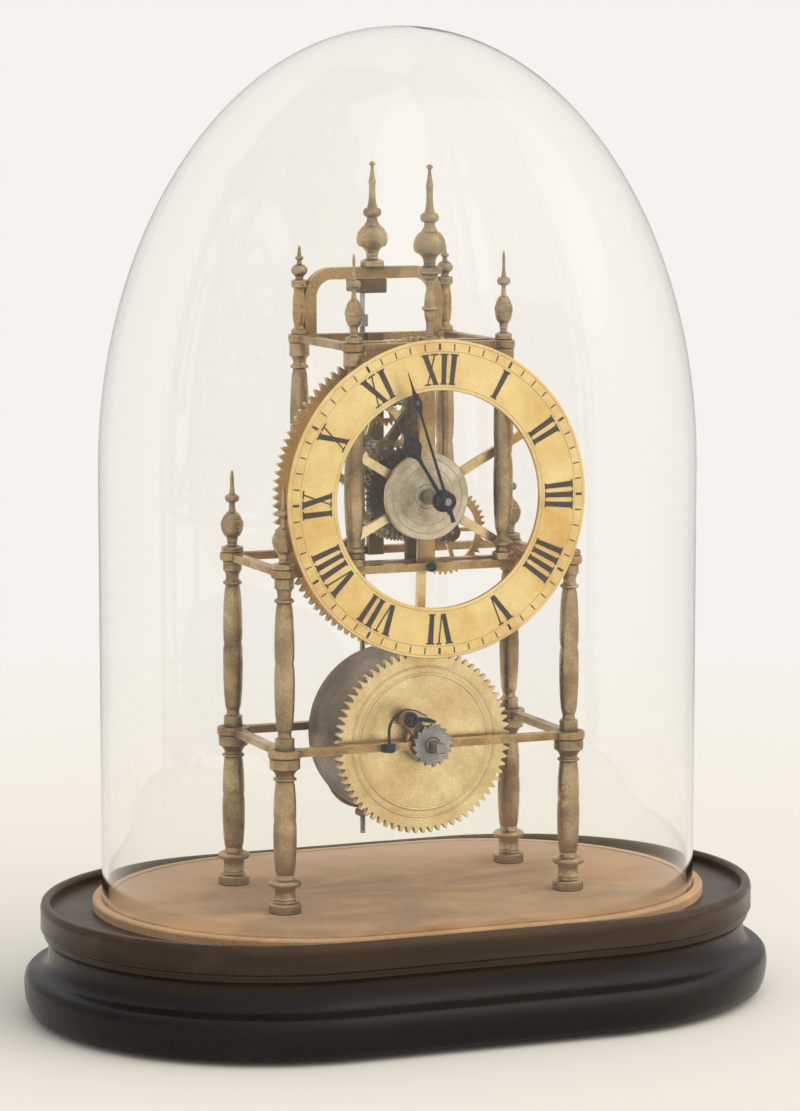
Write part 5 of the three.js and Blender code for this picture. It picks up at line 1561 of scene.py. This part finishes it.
def click():
    # the click's arm runs from its pin to a nose that rides just off the ratchet's tips
    look = clickLook
    pin = Vector((-frameLook["clickReach"], frameLook["clickRise"]))
    ride = ratchetLook["radius"] + look["noseGap"]
    noseAngle = math.atan2(pin.y, pin.x) - math.acos(ride / pin.length)
    out = Vector((math.cos(noseAngle), math.sin(noseAngle)))
    nose = out * ride
    side = (pin - nose).normalized()
    along, wide = look["heel"]
    arm = [pin, nose, nose + out * look["nose"], nose + side * along + out * wide, pin + out * look["arm"]]
    low, high = span("click")
    front, radius = low.y, look["pin"]
    bm = bmesh.new()
    flatInto(bm, [[(point.x, point.y) for point in arm]], front + look["inset"], look["thickness"],
             (0, barrelCentre.z))
    place = (pin.x, 0, barrelCentre.z + pin.y)
    turnedMesh(bm, [(r, front + y, bulge) for r, y, bulge in look["eye"]], place, 32, True, radius, 4)
    pinRows = [(look["pinEnd"], front + 0.1, 0), (radius, front + 0.3, 0.2), (radius, high.y, 0)]
    turnedMesh(bm, pinRows, place, 24, True, steps=4)
    finishPiece(bm, "pivoted_click", "blued_steel", "click", ["click"], bevel=0.1)


# knots as shares of the click's reach and rise, foot first
springLook = {"knots": ((-2.1, 0.1), (-2.05, 0.9), (-1.5, 1.42), (-0.9, 1.42), (-0.3, 1.17)), "steps": 10,
              "half": 0.32, "thinning": 0.1, "footHalf": 2.4, "footRise": 1.75}


def clickSpring():
    look = springLook
    low, high = span("click_spring")
    reach, rise = frameLook["clickReach"], frameLook["clickRise"]
    knots = [Vector((x * reach, z * rise)) for x, z in look["knots"]]
    line = smoothLine(knots, look["steps"])
    left, right = [], []
    for i, point in enumerate(line):
        ahead, behind = line[min(i + 1, len(line) - 1)], line[max(i - 1, 0)]
        across = Vector((behind.y - ahead.y, ahead.x - behind.x)).normalized()
        half = look["half"] - look["thinning"] * i / len(line)
        left.append(point + across * half)
        right.append(point - across * half)
    bm = bmesh.new()
    flatInto(bm, [[(p.x, p.y) for p in left + right[::-1]]], low.y, 2.0, (0, barrelCentre.z))
    footX, footZ = look["knots"][0][0] * reach, barrelCentre.z
    boxInto(bm, (footX - look["footHalf"], low.y + 0.05, footZ - look["footRise"]),
            (footX + look["footHalf"], high.y, footZ + look["footRise"]))
    piece = finishPiece(bm, "leaf_click_spring", "blued_steel", None, ["click_spring"], bevel=0.12)
    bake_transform(piece)


pinionedArbors()
barrelDrum()
greatWheelFace()
barrelArbor()
ratchet()
click()
clickSpring()
print("barrel and arbors made")


# hour pipe and hands

handLook = {   # shares of the length from the centre, and of the width
    "hour": {"node": "hour_hand", "body": "hour", "angle": 121.5, "length": 38.0, "width": 2.2, "bore": 3.1,
             "shares": [(-0.16, 0.55), (-0.1, 0.5), (0.15, 0.36), (0.48, 0.34), (0.56, 0.75), (0.62, 1.55),
                        (0.68, 1.78), (0.75, 1.3), (0.8, 0.55), (0.86, 0.28), (1.0, 0.06)],
             "eye": (0.67, 2.1), "hub": 4.6},
    "minute": {"node": "minute_hand", "body": "centre", "angle": 108.0, "length": 55.0, "width": 1.6,
               "bore": 1.8,
               "shares": [(-0.16, 0.6), (-0.1, 0.5), (0.2, 0.36), (0.64, 0.3), (0.7, 0.7), (0.74, 1.1),
                          (0.77, 1.2), (0.81, 0.9), (0.85, 0.4), (0.9, 0.22), (1.0, 0.06)],
               "eye": (0.765, 0.95), "hub": 4.0},
}


def makeHand(name, look):
    low, high = span(look["node"])
    turn = math.radians(look["angle"])
    along, across = Vector((math.cos(turn), math.sin(turn))), Vector((-math.sin(turn), math.cos(turn)))

    def place(u, v):
        return tuple(along * u + across * v)

    length, width, bore, hub = look["length"], look["width"], look["bore"], look["hub"]
    line = smoothLine(look["shares"], 6)
    outline = [place(s.x * length, s.y * width) for s in line]
    outline += [place(s.x * length, -s.y * width) for s in line[::-1]]
    eyeAt, eyeRadius = look["eye"]
    eye = [place(eyeAt * length + x, y) for x, y in roundLoop(eyeRadius, 28)]
    front, back = low.y, high.y
    bm = bmesh.new()
    flatInto(bm, [outline, eye], front + 0.12, back - front - 0.24, (0, dialCentre.z))
    rows = [(bore + 0.4, front, 0), (hub - 0.9, front + 0.05, 0), (hub - 0.2, front + 0.3, 0.15),
            (hub, back - 0.2, 0.1), (hub - 0.2, back, 0.1)]
    turnedMesh(bm, rows, (0, 0, dialCentre.z), 48, True, bore, 5)
    finishPiece(bm, name, "blued_steel", look["body"], [look["node"]], bevel=0.12)


pipeLook = {"radius": 2.8, "bore": 1.8, "flange": 8.0, "gearBack": -8.5, "gearWidth": 2.0}


def hourPipe():
    look = pipeLook
    low, high = span("hour_pipe")
    wheelBack = span("hour_wheel")[1].y
    radius, flange = look["radius"], look["flange"]
    rows = [(radius - 0.3, low.y, 0), (radius, low.y + 0.3, 0.2), (radius, wheelBack, 0),
            (flange, wheelBack, 0), (flange, wheelBack + 0.9, 0), (flange - 0.8, wheelBack + 1.1, 0),
            (flange - 1.0, wheelBack + 2.0, 0.1), (radius, wheelBack + 2.0, 0), (radius, high.y - 0.3, 0),
            (radius - 0.3, high.y, 0.2)]
    bm = bmesh.new()
    turnedMesh(bm, rows, (0, 0, dialCentre.z), 44, True, look["bore"], 5)
    finishPiece(bm, "turned_hour_pipe", "polished_steel", "hour", ["hour_pipe"], crease=28)
    gear = dict(solidGear, kind="fine", phase=0.0, hub=3.0, bore=2.7, rim=2.0, bevel=0.06, body="hour",
                teeth=gearTeeth, module=motionModule)
    place = Vector((0, look["gearBack"], dialCentre.z))
    toothedPiece("step_up_gear", gear, place, look["gearWidth"], "polished_steel")


hourPipe()
makeHand("hour_spade_hand", handLook["hour"])
makeHand("minute_spade_hand", handLook["minute"])
print("hands made")


# escapement and pendulum

palletLook = {
    "distance": 15.5, "escapeRadius": 11.0, "nibGap": 1.15, "nibWidth": 1.4, "hub": 3.0, "hubBore": 1.25,
    "arbor": 1.2, "pivot": 0.8, "collet": 2.2, "colletAt": 13.0, "crutchClear": 1.8, "crutchThick": 1.5,
    "crutchDrop": 37.0, "crutchWidth": 2.0, "prongIn": 1.5, "prong": 1.5, "forkDepth": 3.0,
}


def recoilAnchor():
    look = palletLook
    low, high = span("anchor")
    centre = arborAt["pallets"]
    nibAngle = math.acos(look["escapeRadius"] / look["distance"])
    nibRadius = look["escapeRadius"] + look["nibGap"]
    nibHalf = look["nibWidth"] / nibRadius / 2
    out, back, upright = nibAngle + nibHalf, nibAngle - nibHalf, math.pi / 2

    def sweep(radius, start, end, steps=20):
        return [(radius * math.cos(start + (end - start) * i / steps),
                 radius * math.sin(start + (end - start) * i / steps)) for i in range(steps + 1)]

    band = (sweep(look["distance"] + look["nibWidth"] - 0.1, upright - out, upright + out)
            + sweep(nibRadius, upright + out, upright + back, 3)
            + sweep(look["distance"] - look["nibWidth"], upright + back, upright - back)
            + sweep(nibRadius, upright - back, upright - out, 3))
    bm = bmesh.new()
    flatInto(bm, [band], low.y + 0.05, high.y - low.y - 0.1, (0, centre.z - look["distance"]))
    turnedMesh(bm, discRows(look["hub"], low.y, high.y), (0, 0, centre.z), 36, True, look["hubBore"], 4)
    finishPiece(bm, "recoil_anchor", "polished_steel", "pallets", ["anchor"], bevel=0.1)


def crutchAndArbor():
    look = palletLook
    low, high = span("pallet_arbor")
    centre = arborAt["pallets"]
    front = span("back_arch")[1].y + look["crutchClear"]
    back = front + look["crutchThick"]
    shoulder = span("middle_plate")[1].y + arborLook["play"]
    arbor, pivot, collet, at = look["arbor"], look["pivot"], look["collet"], look["colletAt"]
    bm = bmesh.new()
    arborMesh(bm, [(0.55, low.y, 0), (pivot, low.y + 0.25, 0.2), (pivot, shoulder, 0), (arbor, shoulder, 0),
                   (arbor, at, 0), (collet, at, 0), (collet, at + 1.0, 0.1), (arbor, at + 1.2, 0),
                   (arbor, back, 0)], 0, centre.z)
    arborMesh(bm, discRows(look["crutchWidth"], front, back, 0.3), 0, centre.z)
    half, foot = look["crutchWidth"] / 2, centre.z - look["crutchDrop"]
    forkTop = foot + look["forkDepth"]
    section = ((-1, front + 0.1), (1, front + 0.1), (1, back - 0.1), (-1, back - 0.1))
    loftInto(bm, [[Vector((x * width, y, z)) for x, y in section]
                  for z, width in ((forkTop - 0.5, half), (centre.z - 12, half * 0.8), (centre.z, half))])
    outer = look["prongIn"] + look["prong"]
    boxInto(bm, (-outer, front, foot), (outer, back, forkTop))
    for side in (-1, 1):
        near, far = sorted((side * look["prongIn"], side * outer))
        boxInto(bm, (near, front + 0.2, foot + 0.02), (far, high.y, forkTop - 0.02))
    finishPiece(bm, "crutch_and_arbor", "polished_steel", "pallets", ["pallet_arbor"], bevel=0.15)


cockLook = {"slit": 0.45, "slitDepth": 2.8, "edge": 0.6}


def pendulumCock():
    low, high = span("pendulum_cock")
    slit = cockLook["slit"]
    slitFront = middle("suspension_spring").y - cockLook["slitDepth"]
    bm = bmesh.new()
    boxInto(bm, (low.x, low.y, low.z), (high.x, slitFront, high.z))
    boxInto(bm, (low.x, slitFront - 0.5, low.z + 0.02), (-slit, high.y, high.z - 0.02))
    boxInto(bm, (slit, slitFront - 0.5, low.z + 0.02), (high.x, high.y, high.z - 0.02))
    # the cock takes the darker brass of painted shade
    finishPiece(bm, "split_cock", "painted_shade_brass", "frame", ["pendulum_cock"], bevel=cockLook["edge"])


bobLook = {
    "rows": [(0.2, -0.5, 0), (0.3, -0.485, 0.1), (0.6, -0.42, 0.06), (0.92, -0.2, 0.08), (0.985, -0.06, 0.1),
             (1.0, -0.03, 0.2), (1.0, 0.03, 0), (0.985, 0.06, 0.2), (0.92, 0.2, 0.1), (0.6, 0.42, 0.08),
             (0.3, 0.485, 0.06), (0.2, 0.5, 0.1)],
    "radius": 17.0, "thickness": 9.0, "bore": 1.5,
}
rodLook = {"radius": 1.2, "threadStart": 1.0, "threadEnd": 13.4, "threadTurns": 20, "pitch": 0.6,
           "threadDepth": 0.16, "underTop": 0.6, "clamp": 2.2, "blockHalf": 1.5, "block": 5}
nutLook = {"radius": 3.4, "knurls": 30, "knurlDepth": 0.22, "bore": 1.5, "rim": 0.98, "face": 0.72,
           "round": 0.5}


def suspendedRod():
    look = rodLook
    low, high = span("suspension_spring")
    bm = bmesh.new()
    boxInto(bm, low, high)
    boxInto(bm, (low.x - 0.05, low.y - 0.2, high.z - look["clamp"]), (high.x + 0.05, high.y + 0.2, high.z))
    finishPiece(bm, "suspension_strip", "polished_steel", "pendulum", ["suspension_spring"], bevel=0.05,
                crease=35)

    low, high = span("pendulum_rod")
    centre, radius = middle("pendulum_rod"), look["radius"]
    rows = [(radius * 0.7, low.z, 0), (radius, low.z + 0.4, 0.2)]
    for i in range(look["threadTurns"]):
        z = low.z + look["threadStart"] + i * look["pitch"]
        rows += [(radius, z, 0), (radius - look["threadDepth"], z + look["pitch"] / 2, 0)]
    rows += [(radius, low.z + look["threadEnd"], 0), (radius, high.z - look["underTop"], 0)]
    bm = bmesh.new()
    turnedMesh(bm, rows, (centre.x, centre.y, 0), 24)
    boxInto(bm, (-look["blockHalf"], low.y, high.z - look["block"]), (look["blockHalf"], high.y, high.z))
    finishPiece(bm, "threaded_rod", "polished_steel", "pendulum", ["pendulum_rod"], bevel=0.12)


def pendulumBob():
    look = bobLook
    centre = middle("pendulum_bob")
    rows = [(r * look["radius"], y * look["thickness"], bulge) for r, y, bulge in look["rows"]]
    bm, cutter = bmesh.new(), bmesh.new()
    turnedMesh(bm, rows, centre, 80, True, steps=6)
    turnedMesh(cutter, [(look["bore"], -20, 0), (look["bore"], 20, 0)], centre, 32)
    finishPiece(cutWith(bm, cutter), "lenticular_bob", "turned_brass", "pendulum", ["pendulum_bob"])


def ratingNut():
    look = nutLook
    low, high = span("rating_nut")
    centre = middle("rating_nut")
    rings = []
    for z, share, cut in ((low.z, look["face"], 0), (low.z + look["round"], look["rim"], 1),
                          (high.z - look["round"], look["rim"], 1), (high.z, look["face"], 0)):
        ring = []
        for i in range(look["knurls"] * 2):
            angle = math.pi * i / look["knurls"]
            radius = look["radius"] * share - look["knurlDepth"] * (i % 2) * cut
            ring.append(Vector((centre.x + radius * math.cos(angle), centre.y + radius * math.sin(angle), z)))
        rings.append(ring)
    bm, cutter = bmesh.new(), bmesh.new()
    loftInto(bm, rings)
    drill = [(look["bore"], low.z - 5, 0), (look["bore"], high.z + 5, 0)]
    turnedMesh(cutter, drill, (centre.x, centre.y, 0), 28)
    finishPiece(cutWith(bm, cutter), "knurled_nut", "turned_brass", "rating_nut", ["rating_nut"], crease=25)


recoilAnchor()
crutchAndArbor()
pendulumCock()
suspendedRod()
pendulumBob()
ratingNut()
print("escapement and pendulum made")


# screws

screwLook = {"Head Radius": 1.9 * mm, "Head Height": 1.2 * mm, "Slot Width": 0.5 * mm}
screwProud, clickScrewProud = 0.4, 0.35


def screws():
    barFront = middle("lower_pillar_front_left").y - frameLook["bar"] / 2 - screwProud
    crossFront = frameLook["crossBarY"] - frameLook["bar"] / 2 - screwProud
    clickFront = span("click")[0].y
    second, third = levels["middle_frame"], levels["upper_frame"]
    footX = springLook["knots"][0][0] * frameLook["clickReach"]
    pin = (-frameLook["clickReach"], clickFront - clickScrewProud, barrelCentre.z + frameLook["clickRise"])
    for name, seed, body, points in (
            ("plate_screws", 3, "frame",
             [(0, barFront, second), (0, crossFront, second), (0, crossFront, third)]),
            ("click_spring_screw", 5, "frame", [(footX, clickFront - screwProud, barrelCentre.z)]),
            ("click_screw", 9, "click", [pin])):
        growPiece(name, screwTree, dict(screwLook, Seed=seed), "blued_steel", body, points=points)


screws()
# the mainspring stays as its solid, in its own colour
mainspring = frame["nodes"]["mainspring"].data.materials
mainspring.clear()
mainspring.append(materials["blued_steel"])
print("screws made")


# studio

studioLook = {
    "floor": (0.86, 0.825, 0.755), "backdrop": (0.92, 0.885, 0.845), "near": 0.3, "far": 1.1, "reach": 7.0,
    "evenLight": 0.36, "evenColour": (1.0, 0.985, 0.96),
    "mirrored": 0.32,        # share of the backdrop that shows in reflections
    # soft-edged glows all round the room: direction, narrowness, strength, colour
    "glows": [
        ((0.66, -0.52, 0.54), 4.0, 1.9, (1.0, 0.975, 0.93)),
        ((0.0, 0.25, 0.97), 2.0, 0.46, (1.0, 1.0, 0.98)),
        ((-0.38, -0.88, 0.26), 3.0, 0.62, (1.0, 0.985, 0.955)),
    ],
    # place in metres, aim, size, power in watts, colour
    "lamp": ((2.2, -2.2, 2.6), (0, 0, 0.2), 3.6, 13, (1.0, 0.97, 0.93)),
}


def makeFloor():
    look = studioLook
    material, tree, shader = startMaterial("studio_floor")
    setShader(tree, shader, {"Base Color": look["floor"], "Roughness": 0.9, "Specular IOR Level": 0.1})
    # far from the clock the floor thins out into the backdrop
    far = mapped(tree, vectorCalc(tree, "LENGTH", onObject(tree)), look["near"], look["far"],
                 interpolation_type="SMOOTHSTEP")
    rays = addNode(tree, "ShaderNodeLightPath").outputs
    seen = calc(tree, "MAXIMUM", rays["Is Camera Ray"], rays["Is Transmission Ray"])
    seen = calc(tree, "MAXIMUM", seen, rays["Is Glossy Ray"])
    beyond = addNode(tree, "ShaderNodeBsdfTransparent")
    fade = addNode(tree, "ShaderNodeMixShader", {
        0: ("MULTIPLY", far, seen), 1: shader, 2: beyond,
    })
    setSocket(tree, tree.nodes["Material Output"].inputs["Surface"], fade)
    mesh = bpy.data.meshes.new("studio_floor")
    reach = look["reach"]
    ground = [(-reach, -reach, 0), (reach, -reach, 0), (reach, reach, 0), (-reach, reach, 0)]
    mesh.from_pydata(ground, [], [(0, 1, 2, 3)])
    mesh.materials.append(material)
    floor = bpy.data.objects.new("studio_floor", mesh)
    bpy.context.collection.objects.link(floor)


def makeWorld():
    look = studioLook
    world = bpy.data.worlds.new("studio")
    bpy.context.scene.world = world
    world.use_nodes = True
    tree = world.node_tree
    tree.nodes.clear()
    towards = addNode(tree, "ShaderNodeTexCoord").outputs["Generated"]
    even = {"Color": look["evenColour"], "Strength": look["evenLight"]}
    light = addNode(tree, "ShaderNodeBackground", even)
    for direction, narrow, strength, colour in look["glows"]:
        aim = tuple(Vector(direction).normalized())
        facing = calc(tree, "MAXIMUM", vectorCalc(tree, "DOT_PRODUCT", towards, aim), 0.0)
        lobe = calc(tree, "MULTIPLY", ("POWER", facing, narrow), strength)
        glow = addNode(tree, "ShaderNodeBackground", {"Color": colour, "Strength": lobe})
        light = addNode(tree, "ShaderNodeAddShader", {0: light, 1: glow})
    seen = addNode(tree, "ShaderNodeBackground", {"Color": look["backdrop"], "Strength": 1.0})
    rays = addNode(tree, "ShaderNodeLightPath").outputs
    direct = calc(tree, "MAXIMUM", rays["Is Camera Ray"], rays["Is Transmission Ray"])
    mirrored = calc(tree, "MULTIPLY", rays["Is Glossy Ray"], look["mirrored"])
    mixed = addNode(tree, "ShaderNodeMixShader", {
        0: ("MAXIMUM", direct, mirrored), 1: light, 2: seen,
    })
    addNode(tree, "ShaderNodeOutputWorld", {"Surface": mixed})


def makeLamp():
    place, aim, size, power, colour = studioLook["lamp"]
    data = bpy.data.lights.new("key", "AREA")
    data.shape, data.size, data.energy, data.color = "DISK", size, power, colour
    lamp = bpy.data.objects.new("key", data)
    lamp.location = place
    lamp.rotation_euler = (Vector(aim) - Vector(place)).to_track_quat("-Z", "Y").to_euler()
    bpy.context.collection.objects.link(lamp)


makeFloor()
makeWorld()
makeLamp()
bpy.context.scene.view_settings.view_transform = "Standard"
print("studio made")
